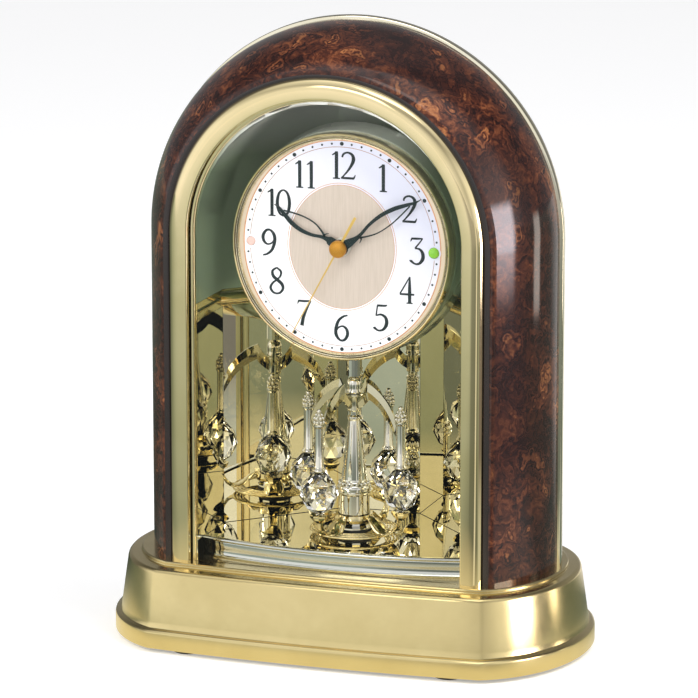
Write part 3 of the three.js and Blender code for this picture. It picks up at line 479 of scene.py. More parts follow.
def repeated(first: Piece, name: str, count: int) -> list[Piece]:
    """Copies a piece evenly round the ornament's axis.

    Args:
        first: The piece.
        name: Name of the copies.
        count: How many there are, with the first.

    Returns:
        The piece and its copies.
    """
    pieces = [first]
    for i in range(1, count):
        pieces.append(twin(first, name))
        turn(pieces[-1], 360 * i / count, "Z")
    return pieces


def joined(name: str, pieces: Sequence[Piece]) -> Piece:
    """Joins pieces into the first.

    Args:
        name: Name of the whole.
        pieces: The pieces.

    Returns:
        The whole.
    """
    deselect()
    for piece in pieces:
        piece.select_set(True)
    bpy.context.view_layer.objects.active = pieces[0]
    if len(pieces) > 1:
        bpy.ops.object.join()
    pieces[0].name = name
    pieces[0].data.name = name
    return pieces[0]


def subtract(piece: Piece, tool: Piece) -> None:
    """Cuts a tool out of a piece and throws the tool away."""
    apply_modifier(piece, "BOOLEAN", operation="DIFFERENCE", object=tool, solver="EXACT")
    bpy.data.objects.remove(tool)


def rounded(piece: Piece, width: float) -> Piece:
    """Rounds a piece's sharp edges.

    Args:
        piece: The piece.
        width: Width of the rounding in millimetres.

    Returns:
        The same piece.
    """
    apply_modifier(
        piece,
        "BEVEL",
        width=width * MM,
        segments=2,
        limit_method="ANGLE",
        angle_limit=math.radians(SHARP),
        harden_normals=False,
    )
    return smooth(piece, 40)


def refined(node: str, degrees: float) -> Piece:
    """Copies a CAD node, merges its triangles and shades it smooth.

    Args:
        node: The node's name.
        degrees: Angle from which an edge stays sharp.

    Returns:
        The copy, which is no longer tied to the node.
    """
    piece = twin(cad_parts[node], f"fine_{node}")
    for key in list(piece.keys()):
        if key.startswith("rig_"):
            del piece[key]
    piece.parent = None
    piece.data.name = piece.name
    with editing(piece):
        bpy.ops.mesh.remove_doubles(threshold=MERGE)
        bpy.ops.mesh.tris_convert_to_quads(face_threshold=QUAD_BEND, shape_threshold=QUAD_SKEW)
    smooth(piece, degrees)
    apply_modifier(piece, "WEIGHTED_NORMAL", mode="FACE_AREA", weight=90, keep_sharp=True)
    return piece


# Finishes


class Graph:
    """Adds nodes to one node tree and links them."""

    def __init__(self, tree: bpy.types.NodeTree) -> None:
        """Keeps the tree."""
        self.tree = tree

    def feed(self, socket: Socket, value: object) -> None:
        """Links another node's output to a socket, or sets the socket to a plain value.

        Args:
            socket: The input socket.
            value: The output socket, or the value.
        """
        if isinstance(value, Socket):
            self.tree.links.new(value, socket)
        else:
            socket.default_value = value

    def add(
        self, kind: str, inputs: dict[str | int, object] | None = None, **settings: object
    ) -> bpy.types.Node:
        """Adds a node.

        Args:
            kind: Node type without its ShaderNode prefix.
            inputs: Socket names or numbers with a value or another node's output socket.
            settings: Properties of the node.

        Returns:
            The node.
        """
        node = self.tree.nodes.new(kind if kind.startswith("Node") else f"ShaderNode{kind}")
        for key, value in settings.items():
            setattr(node, key, value)
        for key, value in (inputs or {}).items():
            self.feed(node.inputs[key], value)
        return node

    def math(self, operation: str, first: object, second: object = 0.0, clamp: bool = False) -> Socket:
        """A Math node's output."""
        node = self.add("Math", {0: first, 1: second}, operation=operation, use_clamp=clamp)
        return node.outputs[0]

    def vector(self, operation: str, inputs: dict[str | int, object]) -> Socket:
        """A VectorMath node's vector."""
        return self.add("VectorMath", inputs, operation=operation).outputs[0]

    def mix(self, share: object, first: object, second: object, blend: str = "MIX") -> Socket:
        """Mixes two colours.

        Args:
            share: How much of the second one shows.
            first: The colour at 0.
            second: The colour at 1.
            blend: How the second one is laid over the first.

        Returns:
            The mixed colour.
        """
        node = self.add("Mix", data_type="RGBA", blend_type=blend, clamp_factor=True)
        for number, value in zip(MIX_INPUTS, (share, first, second)):
            self.feed(node.inputs[number], value)
        return node.outputs[2]

    def ramp(self, share: object, stops: Sequence[tuple[float, object]]) -> Socket:
        """Looks a colour up along a straight ramp.

        Args:
            share: The place on the ramp, from 0 to 1.
            stops: Places with a grey or a colour.

        Returns:
            The colour.
        """
        node = self.add("ValToRGB", {0: share})
        node.color_ramp.interpolation = "LINEAR"
        elements = node.color_ramp.elements
        while len(elements) > 1:
            elements.remove(elements[-1])
        for i, (place, value) in enumerate(stops):
            element = elements[0] if i == 0 else elements.new(place)
            element.position = place
            element.color = value if isinstance(value, tuple) else (value, value, value, 1.0)
        return node.outputs[0]

    def spread(
        self, value: object, low: float, high: float, to_low: float = 0.0, to_high: float = 1.0
    ) -> Socket:
        """A value taken from one range to another."""
        node = self.add("MapRange", {0: value, 1: low, 2: high, 3: to_low, 4: to_high})
        return node.outputs[0]

    def noise(
        self, where: object, scale: object, detail: float = 3.0, warp: float = 0.0, output: int = 0
    ) -> Socket:
        """Makes noise.

        Args:
            where: Coordinates of the texture.
            scale: Size of the pattern per metre.
            detail: Steps of finer noise.
            warp: How much the pattern is warped.
            output: 0 for grey and 1 for colour.

        Returns:
            The noise.
        """
        inputs = {"Vector": where, "Scale": scale, "Detail": detail, "Distortion": warp}
        return self.add("TexNoise", inputs).outputs[output]

    def here(self) -> Socket:
        """Object coordinates."""
        return self.add("TexCoord").outputs["Object"]

    def place(self, scale: Point = (1.0, 1.0, 1.0)) -> Socket:
        """Object coordinates, stretched."""
        return self.add("Mapping", {"Vector": self.here(), "Scale": scale}).outputs[0]

    def parts(self, vector: Socket) -> list[Socket]:
        """The three numbers of a vector."""
        return list(self.add("SeparateXYZ", {0: vector}).outputs)


def colour(code: str) -> Colour:
    """Works out the linear colour of a hex code.

    Args:
        code: Six hex digits.

    Returns:
        Red, green, blue and a full alpha.
    """
    parts = [int(code[i : i + 2], 16) / 255 for i in (0, 2, 4)]
    linear = [p / 12.92 if p <= 0.04045 else ((p + 0.055) / 1.055) ** 2.4 for p in parts]
    return (*linear, 1.0)


class Effect(Enum):
    """Shared node groups."""

    HANDLING = "handling_marks"
    GRAIN = "moulded_grain"
    BRUSH = "brushed_lines"
    RIPPLE = "lacquer_ripple"


class EffectShelf:
    """Builds each shared node group once."""

    def __init__(self) -> None:
        """Starts with no group built."""
        self.built: dict[Effect, bpy.types.NodeTree] = {}

    def get(self, effect: Effect) -> bpy.types.NodeTree:
        """Finds the group of one effect, or builds it.

        Args:
            effect: The effect.

        Returns:
            Its node group.
        """
        if effect not in self.built:
            tree = bpy.data.node_groups.new(effect.value, "ShaderNodeTree")
            tree.interface.new_socket("Vector", in_out="INPUT", socket_type="NodeSocketVector")
            for name, value in (("Scale", 100.0), ("Low", 0.0), ("High", 1.0)):
                socket = tree.interface.new_socket(name, in_out="INPUT", socket_type="NodeSocketFloat")
                socket.default_value = value
            for name in ("Rough", "Height"):
                tree.interface.new_socket(name, in_out="OUTPUT", socket_type="NodeSocketFloat")
            self.fill(effect, Graph(tree))
            self.built[effect] = tree
        return self.built[effect]

    def fill(self, effect: Effect, graph: Graph) -> None:
        """Draws one effect's nodes between the group's sockets.

        Args:
            effect: The effect.
            graph: The group's nodes.
        """
        enter = graph.add("NodeGroupInput").outputs
        where, scale = enter["Vector"], enter["Scale"]
        if effect is Effect.HANDLING:
            wide = graph.noise(where, 22.0, 4.0, 0.6)
            height = graph.noise(where, scale, 6.0)
            mask = graph.math("MULTIPLY", graph.spread(wide, 0.42, 0.68), height)
        elif effect is Effect.GRAIN:
            cells = graph.add("TexVoronoi", {"Vector": where, "Scale": scale}).outputs["Distance"]
            mask = graph.noise(where, 60.0)
            height = graph.math("POWER", cells, 1.6)
        elif effect is Effect.BRUSH:
            mask = height = graph.noise(where, scale, 5.0)
        else:
            height = graph.noise(where, scale, 1.5)
            mask = graph.math("MULTIPLY_ADD", graph.noise(where, 900.0, 2.0), 0.5)
            graph.feed(mask.node.inputs[2], graph.math("MULTIPLY", height, 0.5))
        rough = graph.spread(mask, 0.25, 0.75)
        for name, number in (("Low", 3), ("High", 4)):
            graph.feed(rough.node.inputs[number], enter[name])
        graph.add("NodeGroupOutput", {"Rough": rough, "Height": height})


SHELF = EffectShelf()


@dataclass(frozen=True)
class Finish:
    """A finish with two close colours, a shared surface effect and a plain shader."""

    name: str
    tone: str
    second: str
    rough: tuple[float, float]
    metallic: float = 0.0
    effect: Effect = Effect.HANDLING
    scale: float = 400.0
    stretch: Point = (1.0, 1.0, 1.0)
    relief: float = 0.02
    depth: float = 0.0001
    blotch: float = 35.0
    shader: tuple[tuple[str, float], ...] = ()

    def toned(self, graph: Graph, share: Socket) -> Socket:
        """The two tones mixed by a share."""
        return graph.mix(share, colour(self.tone), colour(self.second))

    def colours(self, graph: Graph) -> Socket:
        """The base colour: the two tones in slow clouds."""
        cloud = graph.noise(graph.place(), self.blotch, 3.0, 0.3)
        return self.toned(graph, graph.spread(cloud, 0.35, 0.65))

    def bump(self, graph: Graph, height: Socket) -> Socket:
        """The normal for a height."""
        inputs = {"Strength": self.relief, "Distance": self.depth, "Height": height}
        return graph.add("Bump", inputs).outputs[0]

    def make(self) -> bpy.types.Material:
        """Builds the material, or finds it if it is there.

        Returns:
            The material.
        """
        if self.name in bpy.data.materials:
            return bpy.data.materials[self.name]
        material = bpy.data.materials.new(self.name)
        material.use_nodes = True
        graph = Graph(material.node_tree)
        shader = material.node_tree.nodes["Principled BSDF"]
        inputs = {"Vector": graph.place(self.stretch), "Scale": self.scale}
        inputs["Low"], inputs["High"] = self.rough
        group = graph.add("Group", node_tree=SHELF.get(self.effect))
        for key, value in inputs.items():
            graph.feed(group.inputs[key], value)
        values = {
            "Base Color": self.colours(graph),
            "Roughness": group.outputs["Rough"],
            "Normal": self.bump(graph, group.outputs["Height"]),
            "Metallic": self.metallic,
            **dict(self.shader),
        }
        for key, value in values.items():
            graph.feed(shader.inputs[key], value)
        self.extra(graph, shader)
        return material

    def extra(self, graph: Graph, shader: bpy.types.Node) -> None:
        """What a finish of its own adds to the shader."""

    def dress(self, *pieces: Piece) -> None:
        """Gives pieces this finish.

        Args:
            pieces: The pieces.
        """
        material = self.make()
        for piece in pieces:
            piece.data.materials.clear()
            piece.data.materials.append(material)


@dataclass(frozen=True)
class BurlFinish(Finish):
    """Dark burl veneer with eyes and swirls under a clear coat."""

    wide_push: float = 0.036
    fine_push: float = 0.011
    eyes: float = 58.0
    bands: float = 40.0
    knots: float = 21.0
    clouds: float = 24.0
    pores: float = 1500.0
    tones: tuple[tuple[float, str], ...] = (
        (0.36, "160a0a"), (0.5, "2e1511"), (0.6, "50281a"), (0.72, "774329"), (0.86, "a3683d"),
    )

    def pushed(self, graph: Graph, where: Socket, bent: Socket, scale: float, detail: float,
               push: float) -> Socket:
        """Pushes places about by noise.

        Args:
            graph: The material's nodes.
            where: Coordinates of the noise.
            bent: The places.
            scale: Scale of the noise.
            detail: Detail of the noise.
            push: How far they are pushed, in metres.

        Returns:
            The places, pushed.
        """
        noise = graph.noise(where, scale, detail, output=1)
        centred = graph.vector("SUBTRACT", {0: noise, 1: (0.5, 0.5, 0.5)})
        return graph.vector("ADD", {0: bent, 1: graph.vector("SCALE", {0: centred, "Scale": push})})

    def colours(self, graph: Graph) -> Socket:
        """Swirled figure: warped bands round eyes, dark clouds and fine pores.

        Args:
            graph: The material's nodes.

        Returns:
            The base colour.
        """
        where = graph.place()
        bent = self.pushed(graph, where, where, 52.0, 4.0, self.wide_push)
        bent = self.pushed(graph, where, bent, 130.0, 5.0, self.fine_push)
        inputs = {"Vector": bent, "Scale": self.eyes, "Smoothness": 0.8}
        eyes = graph.add("TexVoronoi", inputs, feature="SMOOTH_F1").outputs["Distance"]
        wave = graph.math("SINE", graph.math("MULTIPLY", eyes, self.bands))
        near = graph.spread(eyes, 0.12, 0.42, 0.34, 0.05)
        figure = graph.math("MULTIPLY", graph.spread(wave, -1.0, 1.0), near)
        for noise, share in (
            (graph.noise(bent, 150.0, 9.0, 2.2), 0.62), (graph.noise(bent, 46.0, 6.0, 0.9), 0.42),
        ):
            figure = graph.math("ADD", figure, graph.math("MULTIPLY", noise, share))
        base = graph.ramp(figure, [(place, colour(tone)) for place, tone in self.tones])
        clouds = graph.noise(where, self.clouds, 4.0, 0.8)
        base = graph.mix(graph.spread(clouds, 0.34, 0.6, 0.7, 0.0), base, colour("1d0d0d"))
        inputs = {"Vector": bent, "Scale": self.knots}
        knots = graph.add("TexVoronoi", inputs).outputs["Distance"]
        base = graph.mix(graph.spread(knots, 0.05, 0.16, 0.85, 0.0), base, colour("180a0b"))
        pores = graph.noise(where, self.pores, 2.0)
        return graph.mix(graph.spread(pores, 0.3, 0.5, 0.3, 0.0), base, colour("1a0b0a"))


@dataclass(frozen=True)
class ClearFinish(Finish):
    """Flat glass: a mirror film as strong as glass reflects, and clear between."""

    index: float = 1.3
    smear: float = 0.006

    def extra(self, graph: Graph, shader: bpy.types.Node) -> None:
        """Lets the Fresnel share alone be seen, with a faint smear.

        Args:
            graph: The material's nodes.
            shader: The shader that gets the share as its alpha.
        """
        share = graph.add("Fresnel", {"IOR": self.index}).outputs[0]
        smudge = graph.noise(graph.place(), 18.0, 5.0)
        film = graph.math("ADD", share, graph.spread(smudge, 0.5, 0.8, 0.0, self.smear), True)
        front = graph.math("SUBTRACT", 1.0, graph.add("NewGeometry").outputs["Backfacing"])
        graph.feed(shader.inputs["Alpha"], graph.math("MULTIPLY", film, front))


@dataclass(frozen=True)
class DialFinish(Finish):
    """Printed white with a lavender shade painted towards the upper right."""

    def colours(self, graph: Graph) -> Socket:
        """White, with painted lavender shade going up and to the right.

        Args:
            graph: The material's nodes.

        Returns:
            The base colour.
        """
        across, _, up = graph.parts(graph.here())
        # Painted shade: the lavender grows up and to the right.
        lean = graph.math("ADD", across, graph.math("MULTIPLY", up, 1.2))
        return self.toned(graph, graph.spread(lean, 0.215, 0.28))


@dataclass(frozen=True)
class PaintedCrownHoodFinish(Finish):
    """Smoky gloss with a paler tone painted at the crown as a highlight."""

    def colours(self, graph: Graph) -> Socket:
        """The dark tone below and, at the crown, a pale painted highlight."""
        height = graph.parts(graph.here())[2]
        return self.toned(graph, graph.spread(height, 0.222, 0.25))


@dataclass(frozen=True)
class BrushedFinish(Finish):
    """Fine upright brushing seen in the colour as well."""

    def colours(self, graph: Graph) -> Socket:
        """The two tones in narrow upright lines."""
        lines = graph.noise(graph.place(self.stretch), self.scale)
        return self.toned(graph, graph.spread(lines, 0.35, 0.65))


@dataclass(frozen=True)
class WindingFinish(Finish):
    """Enamelled wire wound on a rod."""

    half: float = 0.0131
    pitch: float = 9000.0

    def colours(self, graph: Graph) -> Socket:
        """Wire on the middle of the rod, dark rod at its ends.

        Args:
            graph: The material's nodes.

        Returns:
            The base colour.
        """
        along = graph.parts(graph.here())[0]
        wire = graph.math("LESS_THAN", graph.math("ABSOLUTE", along), self.half)
        turns = graph.math("SINE", graph.math("MULTIPLY", along, self.pitch))
        copper = self.toned(graph, graph.spread(turns, -1.0, 1.0))
        return graph.mix(wire, colour("2b2c2e"), copper)


class Paint(Enum):
    """Every finish on the clock."""

    CHAMPAGNE = Finish(
        "champagne_lacquer", "e4d19a", "ddca92", (0.16, 0.24), 1.0, Effect.RIPPLE, 260.0, relief=0.03
    )
    CREAM = Finish(
        "cream_gold_plating", "f6e4b5", "efddab", (0.07, 0.13), 1.0, Effect.HANDLING, 300.0, relief=0.01
    )
    BURL = BurlFinish(
        "burl_veneer", "5f3626", "2b1414", (0.34, 0.46), 0.0, Effect.RIPPLE, 120.0, relief=0.015,
        shader=(("Coat Weight", 1.0), ("Coat Roughness", 0.07), ("Specular IOR Level", 0.06)),
    )
    STRIP = Finish(
        "maroon_edge", "1e0e10", "160a0c", (0.2, 0.3), 0.0, Effect.RIPPLE, 120.0, relief=0.01,
        shader=(("Coat Weight", 0.8), ("Coat Roughness", 0.05)),
    )
    GLASS = ClearFinish("float_glass", "ffffff", "ffffff", (0.0, 0.01), 1.0, relief=0.0)
    FASCIA = Finish(
        "grey_chrome", "dddfd8", "d6d8d0", (0.05, 0.1), 1.0, Effect.HANDLING, 350.0, relief=0.006
    )
    TRIM = Finish(
        "pale_trim_plating", "f6f0da", "f0e9cf", (0.1, 0.16), 1.0, Effect.HANDLING, 350.0, relief=0.008
    )
    MIRROR = Finish(
        "pale_gold_mirror", "f2ebd0", "ede6c9", (0.01, 0.035), 1.0, Effect.HANDLING, 200.0, relief=0.004
    )
    GOLD = Finish(
        "bright_gold_plating", "f3e5b6", "eedda6", (0.05, 0.12), 1.0, Effect.HANDLING, 350.0, relief=0.01
    )
    RIB = Finish(
        "grey_gold_plating", "c9c5aa", "c1bda0", (0.04, 0.09), 1.0, Effect.HANDLING, 350.0, relief=0.008
    )
    CHROME = Finish(
        "bright_chrome", "f4f1e4", "ece9dc", (0.03, 0.08), 1.0, Effect.HANDLING, 350.0, relief=0.008
    )
    # Dark smoky green, painted paler towards the top as a highlight, on the hood and the drum.
    HOOD = PaintedCrownHoodFinish(
        "dark_gloss_hood", "8b9c7f", "fbfdf8", (0.08, 0.13), 0.35, Effect.RIPPLE, 90.0, relief=0.01,
    )
    # The lavender second tone is painted shade towards the upper right.
    DIAL = DialFinish("printed_dial_painted_shade", "fbfbfd", "d4d6e6", (0.42, 0.5), 0.0, Effect.RIPPLE, 500.0)
    CENTRE = BrushedFinish(
        "brushed_rose_centre", "d2c4b6", "cabcad", (0.3, 0.42), 0.1, Effect.BRUSH, 2400.0,
        (1.0, 1.0, 0.04), 0.1,
    )
    COPPER = Finish(
        "copper_line", "dfab82", "d9a178", (0.25, 0.35), 0.15, Effect.HANDLING, 300.0, relief=0.01
    )
    BEZEL_CREAM = Finish(
        "bezel_cream", "f3e6c2", "ecdcb2", (0.1, 0.16), 0.9, Effect.HANDLING, 300.0, relief=0.01
    )
    # Dark olive painted into the bezel's grooves as their shade.
    GROOVE = Finish("bezel_groove", "77704f", "6b6445", (0.3, 0.4), 0.6, Effect.HANDLING, 300.0, relief=0.01)
    BEZEL_SILVER = Finish(
        "bezel_silver", "ebe5cd", "e3dcc2", (0.12, 0.18), 0.95, Effect.HANDLING, 300.0, relief=0.01
    )
    INK = Finish("printed_ink", "0e1d20", "132529", (0.4, 0.5), 0.0, Effect.RIPPLE, 500.0)
    PRINT_CREAM = Finish("printed_cream", "dcccb5", "d6c5ab", (0.3, 0.4), 0.1, Effect.RIPPLE, 500.0)
    FINE_LINE = Finish("printed_brown_line", "a8754f", "9c6c4a", (0.3, 0.4), 0.1, Effect.RIPPLE, 500.0)
    HAND = Finish(
        "hand_lacquer", "0f1f20", "142829", (0.3, 0.4), 0.0, Effect.RIPPLE, 500.0,
        shader=(("Specular IOR Level", 0.35),),
    )
    SECOND = Finish("second_hand_gold", "e0c06c", "d6b25a", (0.3, 0.4), 0.4, Effect.RIPPLE, 500.0)
    CAP = Finish("amber_cap", "d39a36", "c98d2c", (0.3, 0.4), 0.55, Effect.BRUSH, 2500.0, relief=0.05)
    LAMP = Finish(
        "green_lens", "8fd136", "74bd2b", (0.12, 0.2), 0.0, Effect.RIPPLE, 500.0, blotch=300.0,
        shader=(("Coat Weight", 1.0), ("Subsurface Weight", 0.0)),
    )
    WINDOW = Finish("pink_window", "f2cfc4", "ebc3b7", (0.25, 0.35), 0.0, Effect.RIPPLE, 500.0)
    CRYSTAL = Finish(
        "cut_crystal", "fdfdfb", "fbfbf9", (0.0, 0.01), 0.0, relief=0.0,
        shader=(("Transmission Weight", 1.0), ("IOR", 1.58)),
    )
    BLACK = Finish(
        "black_moulding", "262626", "202020", (0.42, 0.56), 0.0, Effect.GRAIN, 1400.0, relief=0.18
    )
    GREY = Finish(
        "grey_moulding", "6f7274", "66696b", (0.42, 0.54), 0.0, Effect.GRAIN, 1400.0, relief=0.15
    )
    WHITE = Finish(
        "white_moulding", "ebe8de", "e3dfd3", (0.35, 0.45), 0.0, Effect.GRAIN, 1600.0, relief=0.08
    )
    RUBBER = Finish("foot_rubber", "1d1d1d", "262626", (0.7, 0.85), 0.0, Effect.GRAIN, 1100.0, relief=0.3)
    STEEL = Finish(
        "ground_steel", "c2c5c8", "b4b8bb", (0.2, 0.3), 1.0, Effect.BRUSH, 1500.0, (0.1, 1.0, 1.0), 0.05
    )
    JACKET = Finish("cell_sleeve", "8d9093", "7d8083", (0.25, 0.35), 0.3, Effect.RIPPLE, 300.0)
    BOARD = Finish("solder_mask", "2f6e3d", "285f34", (0.3, 0.4), 0.0, Effect.GRAIN, 900.0, relief=0.1)
    WINDING = WindingFinish("wire_winding", "b06a3c", "6f3c1f", (0.3, 0.4), 0.2, Effect.BRUSH, 800.0)

    def on(self, *pieces: Piece) -> None:
        """Gives pieces this finish."""
        self.value.dress(*pieces)


def settle(piece: Piece, paint: Paint, slot: str, *nodes: str, body: Body = Body.CLOCK) -> None:
    """Dresses a finished piece, hides the CAD nodes it stands for and sets it on its body.

    Args:
        piece: The finished piece.
        paint: Its finish.
        slot: The record's material slot; not used.
        nodes: CAD nodes that it stands for.
        body: The body it rides on.
    """
    paint.on(piece)
    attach(piece, body.value)
    if nodes:
        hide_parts(*nodes)
    LOG.info("%s: %d faces on %s", piece.name, len(piece.data.polygons), body.value)


def keep(node: str, paint: Paint) -> None:
    """Gives a CAD node that stays in view its finish."""
    paint.on(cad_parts[node])
    LOG.info("%s kept with %s", node, paint.name.lower())


# Sub-assemblies


def round_points(
    radius: float, count: int, whole: float = math.tau, across: float = 0.0, up: float = 0.0
) -> list[Flat]:
    """Places points evenly round an arc that starts at the right.

    Args:
        radius: The arc's radius.
        count: Number of steps.
        whole: Angle of the arc in radians; a whole turn leaves its last point out.
        across: First number of the centre.
        up: Second number of the centre.

    Returns:
        The points.
    """
    stops = count if whole == math.tau else count + 1
    angles = [whole * i / count for i in range(stops)]
    return [(across + radius * math.cos(a), up + radius * math.sin(a)) for a in angles]


@dataclass
class Plinth:
    """Gold plinth, its base plate and its feet."""

    half_width: float = 113.3
    half_depth: float = 65.0
    bulge: float = 50.6
    corner: float = 70.0
    plate_inset: float = 3.2
    foot_x: float = 63.0
    foot_y: float = 52.0
    levels: tuple[Point, ...] = (
        (11.6, 11.6, 35.0), (5.8, 5.8, 11.0), (5.8, 5.8, 4.7), (3.0, 3.0, 4.7), (3.0, 3.0, 2.3),
        (2.8, 2.8, 2.0), (0.4, 0.4, 2.0), (0.0, 0.0, 2.4), (0.0, 0.0, 9.0), (0.2, 0.2, 9.8),
        (0.7, 0.7, 10.4), (1.5, 1.5, 10.85), (2.3, 2.3, 11.1), (2.6, 2.6, 11.35), (2.8, 2.8, 11.9),
        (3.2, 3.2, 14.0), (6.3, 6.3, 35.9), (6.6, 6.6, 36.8), (7.2, 7.2, 37.5), (7.9, 7.9, 37.9),
        (8.6, 8.6, 38.0), (11.6, 14.8, 38.0), (11.9, 15.1, 38.1), (12.1, 15.3, 38.5), (12.1, 15.3, 39.2),
        (12.4, 15.6, 39.75), (12.9, 16.1, 40.0),
    )

    def outline(self, side: float, front: float, height: float) -> list[Point]:
        """Draws the plan at a height.

        Args:
            side: How far the sides are drawn in.
            front: How far front and back are drawn in.
            height: Height of the plan.

        Returns:
            The closed plan.
        """
        centre = self.half_width - self.bulge
        reach_x, reach_y = self.bulge - side, self.half_depth - front
        corner = math.radians(self.corner)
        corner_x, corner_y = centre + reach_x * math.cos(corner), reach_y * math.sin(corner)
        points = []
        for i in range(49):
            angle = corner * (i / 24 - 1)
            points.append((centre + reach_x * math.cos(angle), reach_y * math.sin(angle)))
        for i in range(1, 12):
            share = 1 - i / 6
            points.append((corner_x * share, reach_y - (reach_y - corner_y) * share * share))
        both = points + [(-x, -y) for x, y in points]
        return [(x, y, height) for x, y in both]

    def build(self) -> None:
        """Makes the shell, the plate and the feet."""
        shell = lofted("plinth", [self.outline(*level) for level in self.levels])
        bore = spun("bore", [(0, 0, 33), (4.2, 0, 33), (4.2, 0, 42), (0, 0, 42)], steps=32)
        subtract(shell, bore)
        smooth(shell, 24)
        settle(shell, Paint.CHAMPAGNE, "champagne_plinth", "plinth_shell")
        inset = self.plate_inset
        plate = lofted("underside_plate", [self.outline(inset, inset, z) for z in (2.0, 4.5)])
        settle(rounded(plate, 0.4), Paint.BLACK, "black_plastic", "base_plate")
        foot = lathed("foot_front_left_pad", [
            (0, 2), (7, 2), (7, 0.7), (6.8, 0.25), (6.3, 0), (5.2, 0), (4.8, 0.3), (0, 0.3),
        ], steps=40)
        for depth, y in (("front", -self.foot_y), ("rear", self.foot_y)):
            for side, x in (("left", -self.foot_x), ("right", self.foot_x)):
                pad = twin(foot, f"pad_{depth}_{side}")
                shift(pad, x, y)
                settle(pad, Paint.RUBBER, "rubber", f"foot_{depth}_{side}")
        bpy.data.objects.remove(foot)


@dataclass
class ArchedCase:
    """Gold front ring, burl band, rear trim, housing and the glass."""

    bottom: float = 40.0
    spring: float = 192.0
    face: float = -44.3
    start: float = 78.0
    band_front: float = -41.0
    band_rear: float = 4.0
    band_radius: float = 96.5
    strip_depth: float = 1.2
    ring_lift: float = 1.5
    pane: Point = (67.2, -41.5, -39.5)

    def band_curve(self, offset: float, steps: int) -> list[Flat]:
        """Draws the curved side's section, from its front edge to the rear.

        Args:
            offset: How far inside the outer face.
            steps: Number of steps.

        Returns:
            The section's points.
        """
        run, rise = self.band_rear - self.band_front, self.band_radius - self.start
        radius = (rise * rise + run * run) / (2 * rise)
        centre = self.band_radius - radius
        start = math.asin(run / radius)
        reach = radius - offset
        return [
            (centre + reach * math.cos(start * (i / steps - 1)),
             self.band_rear + reach * math.sin(start * (i / steps - 1)))
            for i in range(steps + 1)
        ]

    def arch(self, name: str, section: Sequence[Flat], lift: float = 0.0) -> Piece:
        """An arched piece of this case, its bend lifted if need be."""
        return arched(name, section, self.bottom, self.spring + lift)

    def plate(self, name: str, radius: float, front: float, back: float) -> Piece:
        """Makes a flat arched plate.

        Args:
            name: Name of the plate.
            radius: Radius of its bend.
            front: Depth of its front face.
            back: Depth of its rear face.

        Returns:
            The plate.
        """
        bend = round_points(radius, 96, math.pi, up=self.spring + self.ring_lift)
        line = [(radius, self.bottom), *bend, (-radius, self.bottom)]
        return lofted(name, [[(x, y, z) for x, z in line] for y in (front, back)])

    def build(self) -> None:
        """Makes every piece of the case."""
        face = self.face
        ring = self.arch("ring", [
            (65.4, face + 0.45), (65.5, face + 0.2), (65.75, face + 0.02), (66.0, face), (69.6, face),
            (70.6, face + 0.05), (71.6, face + 0.3), (72.6, face + 0.8), (73.4, face + 1.3),
            (74.1, face + 1.95), (74.6, face + 2.65), (74.9, face + 3.3), (75.0, face + 3.9),
            (75.0, -37.5), (67.4, -37.5), (67.4, -41.7), (65.4, -41.7),
        ], self.ring_lift)
        settle(ring, Paint.CREAM, "cream_gold", "front_ring")
        settle(self.plate("front_pane", *self.pane), Paint.GLASS, "glass", "front_glass")
        retainer = self.arch("inner_bead", [
            (63.6, -38.2), (63.7, -38.75), (64.0, -39.15), (64.5, -39.3), (67.2, -39.3), (67.2, -36.7),
            (63.9, -36.7), (63.6, -37.0),
        ], self.ring_lift)
        settle(retainer, Paint.CREAM, "cream_gold", "glass_retainer")
        self.build_band()
        trim = self.arch("gold_trim", [
            (92.0, 5.7), (97.2, 5.7), (97.7, 5.9), (98.0, 6.5), (98.0, 9.0), (97.7, 9.6), (97.2, 9.8),
            (92.0, 9.8),
        ])
        settle(trim, Paint.TRIM, "cream_gold", "rear_trim")
        self.build_back()

    def build_band(self) -> None:
        """Makes the burl band and the dark strip at its front edge."""
        curve = self.band_curve(0, 28)
        limit = self.band_front + self.strip_depth
        strip_end = next(i for i, (_, y) in enumerate(curve) if y > limit)
        inner = [p for p in self.band_curve(3.0, 12) if p[1] > -35.0]
        band = self.arch("burl_band", [
            (76.6, -40.6), *curve[strip_end:], (96.5, 5.3), (96.3, 5.5), (93.5, 5.5), *inner[::-1],
            (76.6, -35.1),
        ])
        settle(band, Paint.BURL, "burl", "case_band")
        strip = self.arch("band_front_edge", [
            (75.2, -40.9), (75.4, -41.0), (77.9, -41.0), *curve[1:strip_end], (76.8, -40.8),
            (76.8, -35.1), (69.2, -35.1), (69.2, -37.3), (75.2, -37.3),
        ])
        settle(strip, Paint.STRIP, "burl")

    def build_back(self) -> None:
        """Makes the moulded back and its cover."""
        housing = refined("rear_housing", 34)
        settle(housing, Paint.BLACK, "black_plastic", "rear_housing")
        skin = self.arch("back_moulding", [
            (93.5, 10.1), (93.2, 12.0), (90.0, 27.5), (88.6, 32.0), (80.6, 45.4), (80.2, 45.9),
            (79.6, 46.0), (78.4, 46.0), (78.4, 45.6), (79.9, 45.2), (88.0, 31.4), (92.6, 10.1),
        ])
        settle(skin, Paint.BLACK, "black_plastic")
        settle(refined("rear_cover", 12), Paint.BLACK, "black_plastic", "rear_cover")


